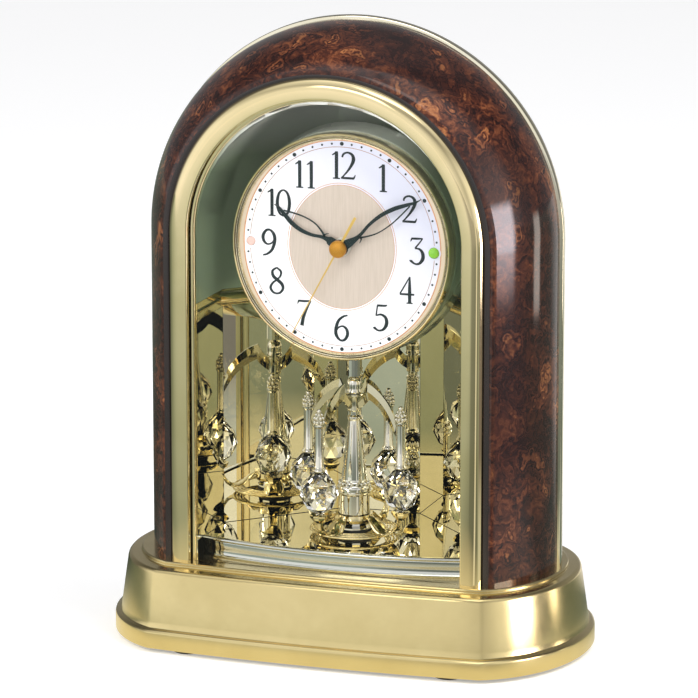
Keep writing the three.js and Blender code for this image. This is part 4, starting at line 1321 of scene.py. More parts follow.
@dataclass
class MirrorBay:
    """Mirrors, hood, cornice, stage and its bowed fascia."""

    half: float = 63.6
    corner: float = -2.4
    centre_half: float = 17.9
    rear: float = 43.3
    front: float = -36.5
    thickness: float = 1.6
    bow: float = 8.0
    bow_half: float = 60.0
    fascia_front: float = -38.3
    fascia_half: float = 63.4
    cornice_foot: float = 152.0

    def line(self, offset: float = 0.0) -> list[Flat]:
        """Draws the bay's plan from the left front to the right front.

        Args:
            offset: How far it is moved outwards.

        Returns:
            The six points of the plan.
        """
        h, c, m, r = self.half + offset, self.corner, self.centre_half, self.rear
        slant = offset * math.tan(math.radians(22.5))
        return [
            (-h, self.front), (-h, c + slant), (-m - slant, r + offset), (m + slant, r + offset),
            (h, c + slant), (h, self.front),
        ]

    def build(self) -> None:
        """Makes every piece of the bay."""
        sides = ("side_panel_left", "mirror_left", "mirror_centre", "mirror_right", "side_panel_right")
        for node in sides:
            keep(node, Paint.MIRROR)
        self.build_cornice()
        settle(refined("hood", 30), Paint.HOOD, "dark_gloss", "hood")
        self.build_stage()

    def moulding(self, radius: float) -> list[Flat]:
        """Draws a moulding's section, a half-round on a flat back.

        Args:
            radius: Radius of the half-round.

        Returns:
            The section as offset and height.
        """
        section = [(self.thickness, 0.0), (self.thickness, 8.0), (0.0, 8.0)]
        section += [(-y, 4.0 + x) for x, y in round_points(radius, 16, math.pi)]
        return [(offset, self.cornice_foot + height) for offset, height in (*section, (0.0, 0.0))]

    def build_cornice(self) -> None:
        """Makes the moulding along the mirrors and a slim bead along each side panel."""
        section = self.moulding(3.4)
        paths = [[(x, y, z) for x, y in self.line(offset)] for offset, z in section]
        ends = [
            [(side * self.half, self.corner + offset * math.sqrt(2), z) for offset, z in section]
            for side in (-1, 1)
        ]
        rings = [ends[0], [path[2] for path in paths], [path[3] for path in paths], ends[1]]
        pieces = [lofted("gold_moulding", rings, crease=30)]
        for side in (-1, 1):
            bead = [
                [(side * (self.half + offset), y, z) for offset, z in self.moulding(0.9)]
                for y in (self.front, self.corner + 2.2)
            ]
            pieces.append(lofted("side_bead", bead, crease=30))
        settle(joined("gold_moulding", pieces), Paint.GOLD, "bright_gold", "cornice")

    def fascia_ring(self, turn_share: float, section: Sequence[Flat]) -> list[Point]:
        """Stands the fascia's section at one place of its bow.

        Args:
            turn_share: The place, from -1 to 1.
            section: Points as depth behind the bow's face and height.

        Returns:
            The section's points.
        """
        radius = (self.bow_half**2 + self.bow**2) / (2 * self.bow)
        centre = self.fascia_front + radius
        ring = []
        for depth, height in section:
            reach = radius - depth
            angle = math.asin(self.fascia_half / reach) * turn_share
            ring.append((reach * math.sin(angle), centre - reach * math.cos(angle), height))
        return ring

    def build_stage(self) -> None:
        """Makes the mirrored stage and the bowed fascia in front of it."""
        keep("stage", Paint.MIRROR)
        section = [
            (1.6, 40.0), (-0.6, 40.0), (-0.75, 40.25), (-0.75, 40.9), (-0.5, 41.2), (0.1, 41.3),
            (0.3, 41.8), (0.25, 44.2), (0.1, 46.6), (0.2, 47.2), (-0.3, 47.35), (-0.8, 47.6),
            (-1.0, 48.1), (-1.0, 48.6), (-0.7, 49.05), (-0.2, 49.2), (1.4, 49.2), (1.6, 49.0),
        ]
        rings = [self.fascia_ring(i / 20 - 1, section) for i in range(41)]
        fascia = lofted("bowed_fascia", rings, crease=38)
        settle(fascia, Paint.FASCIA, "chrome", "stage_fascia")


@dataclass
class DialPlane:
    """The plane of the dial and its axis."""

    height: float = 187.1
    face: float = -17.3

    def on(self, x: float, y: float, proud: float = 0.0) -> Point:
        """A point of the dial's plane, proud of it towards the viewer."""
        return (x, self.face - proud, self.height + y)

    def turned(self, name: str, profile: Sequence[Flat], steps: int = 40, ring: bool = False) -> Piece:
        """Spins a profile about the dial's axis.

        Args:
            name: Name of the piece.
            profile: Points as radius and proud distance.
            steps: Facets round the axis.
            ring: Whether the profile is closed on itself.

        Returns:
            The turned piece.
        """
        points = [self.on(radius, 0, proud) for radius, proud in profile]
        return spun(name, points, Axis.BACK, (0, 0, self.height), steps, ring)


@dataclass
class Dial(DialPlane):
    """Drum, bezel, printed dial, lamp, sensor and the works behind."""

    plate_radius: float = 50.6
    bore_radius: float = 4.4
    spot_reach: float = 44.0
    dot_axes: Flat = (45.5, 47.6)
    big_dot: float = 0.92
    small_dot: float = 0.5
    track_axes: Flat = (44.3, 46.1)
    track_half: float = 0.11
    track_gap: float = 0.07
    copper_axes: Flat = (47.3, 49.15)
    copper_half: Flat = (0.3, 0.22)
    cream_axes: Flat = (49.45, 49.75)
    centre_axes: Flat = (25.1, 28.5)
    stem: float = 0.78
    weight: float = 1.3
    numerals: dict[str, Flat] = field(default_factory=lambda: {
        "12": (0.7, 37.7), "1": (19.6, 33.0), "2": (32.3, 19.5), "3": (35.9, 0.3), "4": (31.3, -17.8),
        "5": (18.7, -31.7), "6": (0.0, -37.6), "7": (-18.0, -32.0), "8": (-31.5, -17.8), "9": (-35.3, -0.2),
        "10": (-30.0, 18.6), "11": (-17.6, 32.5),
    })
    pairs: dict[str, Flat] = field(default_factory=lambda: {
        "10": (-3.95, 1.85), "11": (-2.9, 2.7), "12": (-3.5, 2.3),
    })

    def figure(self, digit: str) -> list[Stroke]:
        """Draws one digit, 12.4 mm tall and centred.

        Args:
            digit: The digit.

        Returns:
            Its strokes.
        """
        w = self.stem
        six = (
            (2.8, 5.95, 0.28), (0.7, 5.3, 0.38), (-1.6, 3.2, 0.52), (-2.85, -0.6, w), (-2.6, -3.7, w),
            (-0.7, -5.85, 0.38), (1.4, -5.45, 0.48), (2.75, -3.0, w), (2.3, -0.6, 0.52),
            (0.6, 0.75, 0.34), (-1.5, 0.1, 0.3), (-2.5, -1.4, 0.26),
        )
        figures: dict[str, tuple[Stroke, ...]] = {
            "0": (Stroke((
                (0, 5.95, 0.3), (-2.1, 4.3, 0.46), (-2.95, 0, w), (-2.1, -4.3, 0.46), (0, -5.95, 0.3),
                (2.1, -4.3, 0.46), (2.95, 0, w), (2.1, 4.3, 0.46)), True),),
            "1": (
                Stroke(((0.25, 6.1, 0.3), (0.25, 5.2, w), (0.25, -5.0, w), (0.25, -6.1, 0.66))),
                Stroke(((-1.9, 4.5, 0.16), (-0.9, 5.1, 0.3), (0.4, 6.1, 0.22))),
                Stroke(((-1.5, -6.15, 0.2), (0.2, -6.05, 0.3), (2.0, -6.15, 0.2))),
            ),
            "2": (
                Stroke(((-2.8, 3.7, 0.3), (-2.2, 5.2, 0.36), (-0.2, 6.0, 0.34), (1.9, 5.1, 0.5),
                        (2.6, 3.1, 0.66), (1.9, 0.8, 0.56), (0.1, -2.1, 0.38), (-1.9, -4.5, 0.28),
                        (-3.2, -5.9, 0.3))),
                Stroke(((-3.3, -5.8, 0.36), (0.0, -5.75, 0.42), (2.7, -5.75, 0.4))),
                Stroke(((2.5, -5.9, 0.42), (3.0, -5.2, 0.3), (3.5, -4.1, 0.14))),
            ),
            "3": (
                Stroke(((-2.5, 5.8, 0.36), (0.0, 5.85, 0.38), (2.8, 6.0, 0.24))),
                Stroke(((-2.3, 6.0, 0.36), (-2.6, 5.3, 0.26), (-3.0, 4.4, 0.13))),
                Stroke(((2.7, 6.0, 0.22), (0.9, 3.6, 0.26), (-0.8, 1.5, 0.3))),
                Stroke(((-1.0, 1.3, 0.26), (1.2, 1.1, 0.38), (2.7, -0.7, 0.6), (2.8, -3.3, 0.66),
                        (1.2, -5.5, 0.46), (-0.9, -5.8, 0.34), (-2.7, -4.6, 0.46), (-2.9, -4.1, 0.5))),
            ),
            "4": (
                Stroke(((1.2, 6.1, 0.2), (-1.0, 2.2, 0.26), (-3.4, -1.9, 0.26))),
                Stroke(((-3.5, -2.1, 0.36), (0.0, -2.05, 0.38), (3.4, -2.05, 0.34))),
                Stroke(((1.2, 6.1, 0.3), (1.2, 0.0, w), (1.2, -5.0, w), (1.2, -6.1, 0.64))),
                Stroke(((-0.3, -6.15, 0.2), (1.2, -6.05, 0.28), (2.7, -6.15, 0.2))),
            ),
            "5": (
                Stroke(((-1.7, 5.75, 0.38), (0.4, 5.75, 0.4), (2.3, 5.85, 0.36), (3.0, 6.3, 0.14))),
                Stroke(((-1.5, 5.9, 0.28), (-1.9, 3.4, 0.28), (-2.2, 0.9, 0.28))),
                Stroke(((-2.2, 1.0, 0.26), (0.2, 1.6, 0.38), (2.4, 0.2, 0.56), (2.8, -2.6, 0.66),
                        (1.4, -5.1, 0.48), (-0.9, -5.9, 0.34), (-2.8, -4.9, 0.46), (-3.1, -4.3, 0.5))),
            ),
            "6": (Stroke(six),),
            "7": (
                Stroke(((-3.0, 5.6, 0.38), (0.2, 5.6, 0.4), (3.1, 5.9, 0.26))),
                Stroke(((-2.8, 5.8, 0.36), (-3.1, 5.0, 0.26), (-3.4, 4.1, 0.13))),
                Stroke(((3.0, 5.9, 0.24), (1.2, 2.4, 0.38), (-0.6, -2.0, 0.58), (-1.3, -5.9, 0.66))),
            ),
            "8": (
                Stroke(((0.7, 5.85, 0.28), (-0.2, 5.95, 0.32), (-2.0, 4.5, 0.46), (-1.7, 2.2, 0.58),
                        (0.2, 0.5, w), (2.4, -1.3, w), (3.0, -3.5, 0.5), (1.6, -5.5, 0.4),
                        (-0.2, -5.95, 0.34))),
                Stroke(((0.6, -5.85, 0.32), (-0.3, -5.95, 0.34), (-1.9, -5.3, 0.42), (-3.0, -3.4, 0.48),
                        (-2.0, -1.2, 0.4), (0.2, 0.6, 0.32), (1.8, 2.4, 0.36), (2.0, 4.5, 0.42),
                        (0.2, 5.95, 0.3))),
            ),
            "9": (Stroke(six).turned(180),),
        }
        strokes = []
        for stroke in figures[digit]:
            line = [(x, y, half if half == w else half * self.weight) for x, y, half in stroke.line]
            strokes.append(Stroke(tuple(line), stroke.closed))
        return strokes

    def oval(self, axes: Flat, wider: Flat | float = 0.0, count: int = 96) -> list[Flat]:
        """Draws an ellipse about the dial's middle.

        Args:
            axes: Its half axes across and up.
            wider: What is added to them, to both or to each.
            count: Number of points.

        Returns:
            The closed line.
        """
        across, up = wider if isinstance(wider, tuple) else (wider, wider)
        circle = round_points(1.0, count)
        return [((axes[0] + across) * x, (axes[1] + up) * y) for x, y in circle]

    def printed(
        self, name: str, loops: Sequence[Sequence[Flat]], thickness: float, paint: Paint, slot: str
    ) -> None:
        """Makes a thin printed or applied shape standing on the dial.

        Args:
            name: Name of the piece.
            loops: Outlines and holes.
            thickness: How far it stands off the dial.
            paint: Its finish.
            slot: The record's material slot.
        """
        piece = flat_plate(name, loops, thickness)
        turn(piece, 90, "X")
        shift(piece, 0, self.face, self.height)
        settle(piece, paint, slot)

    def ringed(self, name: str, profile: Sequence[Flat], paint: Paint, *nodes: str) -> None:
        """Makes one ring of the bezel.

        Args:
            name: Name of the piece.
            profile: Points as radius and proud distance.
            paint: Its finish.
            nodes: CAD nodes that it stands for.
        """
        settle(self.turned(name, profile, 96, ring=True), paint, "copper_trim", *nodes)

    def build(self) -> None:
        """Makes every piece of the dial."""
        self.build_bezel()
        self.build_plate()
        self.build_ovals()
        self.build_marks()
        self.build_works()

    def build_bezel(self) -> None:
        """Makes the bezel as rings of different plating, with painted shade in its grooves."""
        self.ringed("bezel_rim", [
            (51.3, 2.05), (51.5, 2.25), (51.85, 2.3), (52.2, 2.1), (52.45, 1.7), (52.5, 1.2),
            (52.5, -6.6), (52.3, -7.0), (51.3, -7.0), (51.2, 0.2), (51.2, 1.2),
        ], Paint.CREAM, "dial_bezel")
        for name, start, end, low, high in (
            ("bezel_outer_bead", 50.62, 51.16, 1.2, 1.85), ("bezel_inner_bead", 49.92, 50.34, 0.8, 1.25),
        ):
            middle, half = (start + end) / 2, (end - start) / 2
            arc = round_points(1.0, 8, math.pi)
            bead = [(middle + half * x, low + (high - low) * y) for x, y in arc]
            self.ringed(name, [*bead, (start, 0.2), (end, 0.2)], Paint.BEZEL_SILVER)
        # Both grooves are painted dark as shade.
        for name, start, end, top in (
            ("bezel_outer_groove", 51.12, 51.26, 1.0), ("bezel_inner_groove", 50.3, 50.66, 0.6),
        ):
            groove = [(start, 0.2), (start, top), (end, top), (end, 0.2)]
            self.ringed(name, groove, Paint.GROOVE)
        self.ringed("bezel_cream_ring", [
            (49.4, 0.3), (49.5, 0.6), (49.8, 0.95), (49.95, 0.9), (49.95, 0.2), (49.4, 0.2),
        ], Paint.BEZEL_CREAM)

    def build_plate(self) -> None:
        """Makes the dial plate with its bore and the holes of lamp and sensor."""
        loops = [
            round_points(self.plate_radius, 128),
            round_points(self.bore_radius, 40),
            round_points(2.7, 28, across=self.spot_reach),
            round_points(2.2, 28, across=-self.spot_reach),
        ]
        plate = flat_plate("dial_face", loops, 1.0)
        turn(plate, 90, "X")
        shift(plate, 0, self.face + 1.0, self.height)
        settle(plate, Paint.DIAL, "dial_white", "dial_plate")

    def build_ovals(self) -> None:
        """Prints the oval centre, its lines, the track line and the outer rings."""
        inner, outer = self.centre_axes, self.copper_axes
        centre = self.oval(inner)
        bore = round_points(self.bore_radius, 40)
        self.printed("dial_centre", [centre, bore], 0.06, Paint.CENTRE, "dial_white")
        self.printed(
            "centre_inner_line", [self.oval(inner, 0.22), centre], 0.09, Paint.COPPER, "copper_trim"
        )
        rim = [self.oval(inner, 1.1), self.oval(inner, 0.85)]
        self.printed("centre_outer_line", rim, 0.08, Paint.COPPER, "copper_trim")
        rx, ry = self.track_axes
        for name, start in (("upper", self.track_gap), ("lower", math.pi + self.track_gap)):
            arc = [start + (math.pi - 2 * self.track_gap) * i / 60 for i in range(61)]
            sides = []
            for half, angles in ((self.track_half, arc), (-self.track_half, reversed(arc))):
                sides += [((rx + half) * math.cos(a), (ry + half) * math.sin(a)) for a in angles]
            self.printed(f"track_line_{name}", [sides], 0.05, Paint.FINE_LINE, "copper_trim")
        rim = [self.oval(self.cream_axes, count=128), self.oval(outer, count=128)]
        self.printed("outer_cream_print", rim, 0.05, Paint.PRINT_CREAM, "dial_white")
        across, up = self.copper_half
        rim = [self.oval(outer, wider, 128) for wider in ((across, up), (-across, -up))]
        self.printed("outer_copper_line", rim, 0.1, Paint.COPPER, "copper_trim")

    def build_marks(self) -> None:
        """Prints the minute dots and the numerals."""
        dots = []
        for minute in range(60):
            if minute in (15, 45):
                continue
            angle = math.radians(6 * minute)
            x, y = self.dot_axes[0] * math.sin(angle), self.dot_axes[1] * math.cos(angle)
            radius = self.small_dot if minute % 5 else self.big_dot
            dots.append(round_points(radius, 16, across=x, up=y))
        self.printed("minute_dots", dots, 0.06, Paint.INK, "hand_dark")
        strokes = []
        for number, (x, y) in self.numerals.items():
            for digit, offset in zip(number, self.pairs.get(number, (0.0,))):
                strokes += [stroke.moved(x + offset, y) for stroke in self.figure(digit)]
        settle(brushed("numerals", strokes, self.on, 0.05, 0.01), Paint.INK, "hand_dark")

    def build_works(self) -> None:
        """Makes the lamp, the sensor, the drum and the movement."""
        lens = self.turned("green_lamp", [
            (0, -4), (2.5, -4), (2.5, 0.3), (2.4, 0.8), (2.0, 1.25), (1.3, 1.6), (0.6, 1.76), (0, 1.8),
        ])
        shift(lens, self.spot_reach)
        settle(lens, Paint.LAMP, "lamp_green", "reception_lamp")
        collar = [round_points(radius, 40, across=self.spot_reach) for radius in (3.35, 2.62)]
        self.printed("lamp_ring", collar, 0.25, Paint.DIAL, "dial_white")
        window = self.turned("pink_sensor", [
            (0, -4), (2.0, -4), (2.0, 0.05), (1.7, 0.25), (1.0, 0.36), (0, 0.4),
        ])
        shift(window, -self.spot_reach)
        settle(window, Paint.WINDOW, "sensor_pink", "light_sensor")
        drum = self.turned("dial_drum_shell", [
            (48.4, -1.2), (51.0, -1.2), (51.0, -7.2), (52.3, -7.2), (52.6, -7.5), (54.3, -21.2),
            (54.1, -21.8), (26.0, -21.8), (25.5, -22.4), (25.5, -60.0), (23.5, -60.0), (23.5, -19.8),
            (49.0, -19.8), (49.0, -2.2), (48.4, -2.2),
        ], 96, ring=True)
        # The drum's top gets the hood's painted highlight as well.
        settle(drum, Paint.HOOD, "dark_gloss", "dial_drum")
        works = refined("movement_case", 34)
        settle(works, Paint.WHITE, "white_plastic", "movement_case")
        keep("top_bearing", Paint.CHROME)


@dataclass
class Hands(DialPlane):
    """Open-leaf hour and minute hands and the gold second hand."""

    thickness: float = 0.5
    needle_thickness: float = 0.4
    needle_layer: float = 5.0
    hour_angle: float = 300.0
    minute_angle: float = 57.3
    second_angle: float = 208.7

    def leaf(self, length: float, width: float, boss: float) -> list[Stroke]:
        """Draws one hand pointing up: swelling stem, heavy edge, light edge and barb.

        Args:
            length: Length from the axis to the tip.
            width: How far the leaf's edges swing out.
            boss: Radius of its boss.

        Returns:
            The strokes.
        """
        s, w = length, width
        return [
            Stroke(((0.0, -boss, 0.9), (0.0, boss * 0.4, 2.1), (0.15, boss * 1.5, 2.0),
                    (0.1, s * 0.2, 1.15), (-0.55, s * 0.28, 0.74), (-w * 0.72, s * 0.4, 0.72),
                    (-w, s * 0.55, 0.88), (-w * 0.85, s * 0.7, 0.98), (-w * 0.4, s * 0.83, 0.82),
                    (-0.08, s * 0.93, 0.48), (0.0, s, 0.12))),
            Stroke(((0.3, s * 0.235, 0.5), (w * 0.55, s * 0.31, 0.34), (w * 0.95, s * 0.43, 0.28),
                    (w * 0.9, s * 0.58, 0.28), (w * 0.5, s * 0.73, 0.32), (0.0, s * 0.86, 0.32))),
            Stroke(((0.2, s * 0.245, 0.5), (1.5, s * 0.25, 0.32), (2.7, s * 0.215, 0.1))),
        ]

    def layered(self, layer: float) -> Placer:
        """A placer for shapes on a layer in front of the dial."""
        return lambda x, y, up: self.on(x, y, layer + up)

    def build(self) -> None:
        """Makes the three hands."""
        rows = (
            ("hour_leaf", self.leaf(36.5, 3.3, 3.8), self.hour_angle, 2.2, Body.HOUR, "hour_hand",
             3.8, 1.95),
            ("minute_leaf", self.leaf(46.6, 3.1, 3.4), self.minute_angle, 3.6, Body.MINUTE,
             "minute_hand", 3.4, 0.95),
        )
        for name, strokes, angle, layer, body, node, boss, bore in rows:
            strokes = [stroke.turned(angle) for stroke in strokes]
            blade = brushed(f"{name}_blade", strokes, self.layered(layer), self.thickness)
            pipe = self.turned(f"{name}_pipe", [
                (bore, -4.4), (bore + 0.85, -4.4), (bore + 0.85, layer), (boss, layer),
                (boss, layer + 0.45), (bore, layer + 0.45),
            ], ring=True)
            settle(joined(name, [blade, pipe]), Paint.HAND, "hand_dark", node, body=body)
        self.build_second()

    def build_second(self) -> None:
        """Makes the needle and its domed cap."""
        needle = Stroke((
            (0, -17.1, 0.62), (0, -12.0, 0.6), (0, -4.0, 0.55), (0, 4.0, 0.4), (0, 25.0, 0.28),
            (0, 46.2, 0.18),
        )).turned(self.second_angle)
        blade = brushed(
            "needle_blade", [needle], self.layered(self.needle_layer), self.needle_thickness
        )
        settle(blade, Paint.SECOND, "second_gold", "second_hand", body=Body.SECOND)
        cap = self.turned("amber_dome", [
            (0, -4.4), (0.8, -4.4), (0.8, 5.0), (4.0, 5.05), (4.0, 6.2), (3.85, 6.8), (3.4, 7.4),
            (2.6, 7.85), (1.4, 8.12), (0, 8.2),
        ], 48)
        settle(cap, Paint.CAP, "second_gold", body=Body.SECOND)


@dataclass
class Ornament:
    """The turning column, ribs, posts, leaf arms and crystals."""

    spin_radius: float = 26.7
    first_post: float = 162.0
    shaft_bore: float = 1.65
    crystal_radius: float = 9.0
    crystal_foot: float = 62.8
    crystal_height: float = 20.4
    crystal_sides: int = 8
    crystal_rings: tuple[Flat, ...] = (
        (0.16, 0.0), (0.7, 0.17), (1.0, 0.46), (0.86, 0.72), (0.45, 0.93), (0.25, 1.0),
    )

    def post_places(self) -> list[tuple[int, float, float, float]]:
        """Finds where the posts stand.

        Returns:
            Number, angle in degrees, and place of each post.
        """
        places = []
        for i in range(4):
            angle = self.first_post + 90 * i
            x, y = math.cos(math.radians(angle)), math.sin(math.radians(angle))
            places.append((i + 1, angle, self.spin_radius * x, self.spin_radius * y))
        return places

    def build(self) -> None:
        """Makes every piece of the ornament."""
        self.build_column()
        self.build_base()
        self.build_crown()
        self.build_posts()
        self.build_crystals()
        keep("rotor_shaft", Paint.STEEL)

    def ride(self, piece: Piece, paint: Paint, slot: str, *nodes: str) -> None:
        """Settles a finished piece on the ornament's body."""
        settle(piece, paint, slot, *nodes, body=Body.ORNAMENT)

    def beads(self, name: str, radius: float, height: float, size: float, count: int) -> Piece:
        """Makes a ring of small beads about the middle axis.

        Args:
            name: Name of the ring.
            radius: Radius of the ring.
            height: Height of the beads' middles.
            size: Radius of a bead.
            count: Number of beads.

        Returns:
            The ring of beads.
        """
        deselect()
        bpy.ops.mesh.primitive_ico_sphere_add(
            subdivisions=2, radius=size * MM, location=(radius * MM, 0, height * MM)
        )
        first = bpy.context.object
        bpy.ops.object.transform_apply(location=True, rotation=True, scale=True)
        return smooth(joined(name, repeated(first, name, count)), 80)

    def build_column(self) -> None:
        """Makes the tapered column, its neck and its bulb."""
        column = lathed("tapered_column", [
            (0, 72.5), (6.2, 72.5), (6.6, 72.8), (6.6, 73.5), (6.3, 73.9), (6.0, 74.4), (6.0, 75.0),
            (2.8, 102.4), (3.0, 102.8), (3.25, 103.5), (3.1, 104.2), (2.7, 104.6), (2.35, 105.0),
            (2.35, 114.9), (2.7, 115.2), (3.5, 115.5), (3.75, 116.1), (3.5, 116.8), (3.3, 117.3),
            (3.45, 118.4), (3.5, 119.6), (3.3, 120.8), (2.8, 121.9), (2.0, 122.6), (1.2, 122.9),
            (0.9, 123.0), (0.9, 127.0), (0, 127.0),
        ])
        self.ride(column, Paint.CHROME, "chrome", "column")
        self.ride(self.beads("column_beads", 6.8, 72.9, 0.85, 18), Paint.CHROME, "chrome")

    def build_base(self) -> None:
        """Makes the drum, its facetted foot, the hub, the wreath and the leaf arms."""
        bore = self.shaft_bore
        drum = lathed("base_drum", [
            (bore, 58.4), (7.0, 58.4), (7.2, 58.6), (7.2, 67.4), (7.7, 67.9), (7.9, 68.4), (7.9, 69.0),
            (7.5, 69.4), (7.5, 70.2), (7.9, 70.6), (7.9, 71.2), (7.6, 71.8), (7.2, 72.3), (bore, 72.3),
        ], ring=True)
        self.ride(drum, Paint.CHROME, "chrome", "rotor_base")
        foot = lathed("facetted_foot", [
            (bore, 51.6), (8.2, 51.6), (8.2, 52.3), (7.6, 53.4), (7.2, 55.2), (7.1, 58.4), (bore, 58.4),
        ], steps=14, ring=True, crease=4)
        self.ride(foot, Paint.CHROME, "chrome")
        hub = lathed("rotor_disc", [
            (bore, 50.0), (7.9, 50.0), (8.2, 50.3), (8.2, 51.2), (8.0, 51.4), (bore, 51.4),
        ], ring=True)
        self.ride(hub, Paint.BLACK, "black_plastic", "rotor_hub")
        self.build_arms()

    def arm_ring(self, radius: float, height: float, width: float, slope: float) -> list[Point]:
        """Draws a leaf's section at one station, crowned above and hollow below.

        Args:
            radius: Distance from the axis.
            height: Height of the leaf.
            width: Width of the leaf.
            slope: How steeply it rises there, in radians.

        Returns:
            The section's points.
        """
        half = width / 2
        section = [
            (-half, 0.0), (-half * 0.9, 0.45), (-half * 0.55, 0.95), (-half * 0.25, 1.05), (0.0, 1.35),
            (half * 0.25, 1.05), (half * 0.55, 0.95), (half * 0.9, 0.45), (half, 0.0), (half * 0.5, 0.1),
            (0.0, 0.35), (-half * 0.5, 0.1),
        ]
        back, up = math.sin(slope), math.cos(slope)
        return [(radius - rise * back, side, height + rise * up) for side, rise in section]

    def rim(self, middle: float, height: float, size: float) -> Piece:
        """Makes a thin round ring about the axis.

        Args:
            middle: Radius of the ring.
            height: Height of the ring.
            size: Radius of its section.

        Returns:
            The ring.
        """
        return lathed("rim", round_points(size, 12, across=middle, up=height), 72, True, 80)

    def build_arms(self) -> None:
        """Makes the wreath, the collar, the leaves and the cups that carry the crystals."""
        rings = [lathed("scroll_work", [
            (7.5, 54.6), (8.6, 54.6), (9.2, 55.2), (9.3, 56.2), (8.9, 57.0), (8.6, 58.2), (7.5, 58.2),
        ], ring=True)]
        rims = ((20.0, 50.9, 0.62), (18.4, 51.3, 0.5), (16.9, 51.6, 0.42), (15.5, 51.8, 0.36))
        rings += [self.rim(*row) for row in rims]
        stations = [
            (8.2, 56.8, 3.4), (9.6, 56.9, 5.2), (11.2, 56.3, 7.4), (13.0, 54.6, 9.0), (15.0, 52.8, 9.8),
            (17.2, 51.5, 9.2), (19.4, 51.0, 7.4), (21.6, 51.4, 5.6), (23.6, 52.8, 4.4),
            (25.0, 54.8, 3.6), (26.0, 57.0, 3.0), (26.6, 59.4, 2.6),
        ]
        sections = []
        for i, (radius, height, width) in enumerate(stations):
            before, after = stations[max(i - 1, 0)], stations[min(i + 1, len(stations) - 1)]
            slope = math.atan2(after[1] - before[1], after[0] - before[0])
            sections.append(self.arm_ring(radius, height, width, slope))
        leaf = lofted("arm", sections, crease=50)
        cup = spun("cup", [(self.spin_radius + r, 0, z) for r, z in (
            (0, 58.6), (1.2, 58.7), (2.2, 59.4), (3.4, 60.4), (4.2, 61.6), (4.6, 62.6), (3.7, 62.2),
            (2.6, 61.6), (0, 61.4),
        )], centre=(self.spin_radius, 0, 0), steps=10, crease=4)
        arm = joined("arm", [leaf, cup])
        turn(arm, self.first_post, "Z")
        work = joined("scroll_work", rings + repeated(arm, "arm", 4))
        self.ride(work, Paint.GOLD, "bright_gold", "scroll_arms")

    def rib_edge(self, bends: Sequence[Sequence[Flat]], steps: int) -> list[Flat]:
        """Finds points along Bezier bends.

        Args:
            bends: Each bend's control points as radius and height.
            steps: Steps along a bend.

        Returns:
            The points, each joint once.
        """
        edge: list[Flat] = []
        for bend in bends:
            order = len(bend) - 1
            for i in range(0 if not edge else 1, steps + 1):
                t = i / steps
                weights = [
                    math.comb(order, k) * t**k * (1 - t) ** (order - k) for k in range(order + 1)
                ]
                edge.append(tuple(sum(w * p[n] for w, p in zip(weights, bend)) for n in (0, 1)))
        return edge

    def build_crown(self) -> None:
        """Makes the hub and the four pointed ribs, each with a ridge along both faces."""
        hub = lathed("crown_hub", [
            (2.45, 106.8), (3.0, 106.8), (3.3, 107.4), (3.0, 108.2), (2.9, 113.2), (3.3, 114.0),
            (3.2, 114.8), (2.45, 114.8),
        ], ring=True)
        upper = self.rib_edge((
            ((2.9, 114.0), (5.6, 116.0), (8.0, 120.9)),
            ((8.0, 120.9), (15.0, 118.6), (22.2, 112.0), (24.3, 103.6)),
        ), 9)
        lower = self.rib_edge((
            ((2.9, 108.2), (6.2, 109.8), (8.6, 113.4)),
            ((8.6, 113.4), (15.4, 110.6), (19.9, 105.6), (24.3, 97.2)),
        ), 9)
        rings = []
        for (r1, z1), (r2, z2) in zip(upper, lower):
            ridge, height = (r1 + r2) / 2, (z1 + z2) / 2
            rings.append([
                (r1, 0.45, z1), (r1, -0.45, z1), (ridge, -1.1, height), (r2, -0.45, z2), (r2, 0.45, z2),
                (ridge, 1.1, height),
            ])
        rib = lofted("rib", rings, crease=12)
        turn(rib, self.first_post, "Z")
        crown = joined("gothic_ribs", [hub, *repeated(rib, "rib", 4)])
        self.ride(crown, Paint.RIB, "bright_gold", "rib_crown")

    def build_posts(self) -> None:
        """Makes the four posts with their beaded finials."""
        shaft = lathed("post", [
            (0, 83.4), (3.0, 83.4), (3.1, 83.8), (2.9, 84.4), (2.4, 84.9), (2.2, 85.5), (2.2, 103.6),
            (2.5, 104.0), (2.85, 104.5), (2.85, 105.0), (2.4, 105.5), (1.6, 106.0), (1.7, 109.8),
            (1.1, 110.2), (0.9, 110.6), (1.2, 111.0), (1.25, 111.5), (1.0, 112.1), (0.5, 112.5),
            (0, 112.6),
        ], steps=28)
        rows = ((2.2, 106.5, 0.88, 8), (2.0, 108.3, 0.92, 7), (1.35, 109.9, 0.75, 5))
        whole = joined("post", [shaft, *(self.beads("bead", *row) for row in rows)])
        for number, _, x, y in self.post_places():
            post = twin(whole, f"beaded_post_{number}")
            shift(post, x, y)
            self.ride(post, Paint.CHROME, "chrome", f"post_{number}")
        bpy.data.objects.remove(whole)

    def build_crystals(self) -> None:
        """Cuts the four crystals with staggered facets."""
        for number, angle, x, y in self.post_places():
            loops = []
            for i, (width, height) in enumerate(self.crystal_rings):
                reach = self.crystal_radius * width
                lean = math.radians(angle) + (math.pi / self.crystal_sides if i % 2 else 0.0)
                angles = [lean + math.tau * k / self.crystal_sides for k in range(self.crystal_sides)]
                z = self.crystal_foot + self.crystal_height * height
                loops.append([(x + reach * math.cos(a), y + reach * math.sin(a), z) for a in angles])
            gem = lofted(f"cut_crystal_{number}", loops, crease=2)
            with editing(gem):
                bpy.ops.mesh.quads_convert_to_tris(quad_method="SHORTEST_DIAGONAL")
            bpy.ops.object.shade_flat()
            self.ride(gem, Paint.CRYSTAL, "crystal", f"crystal_{number}")


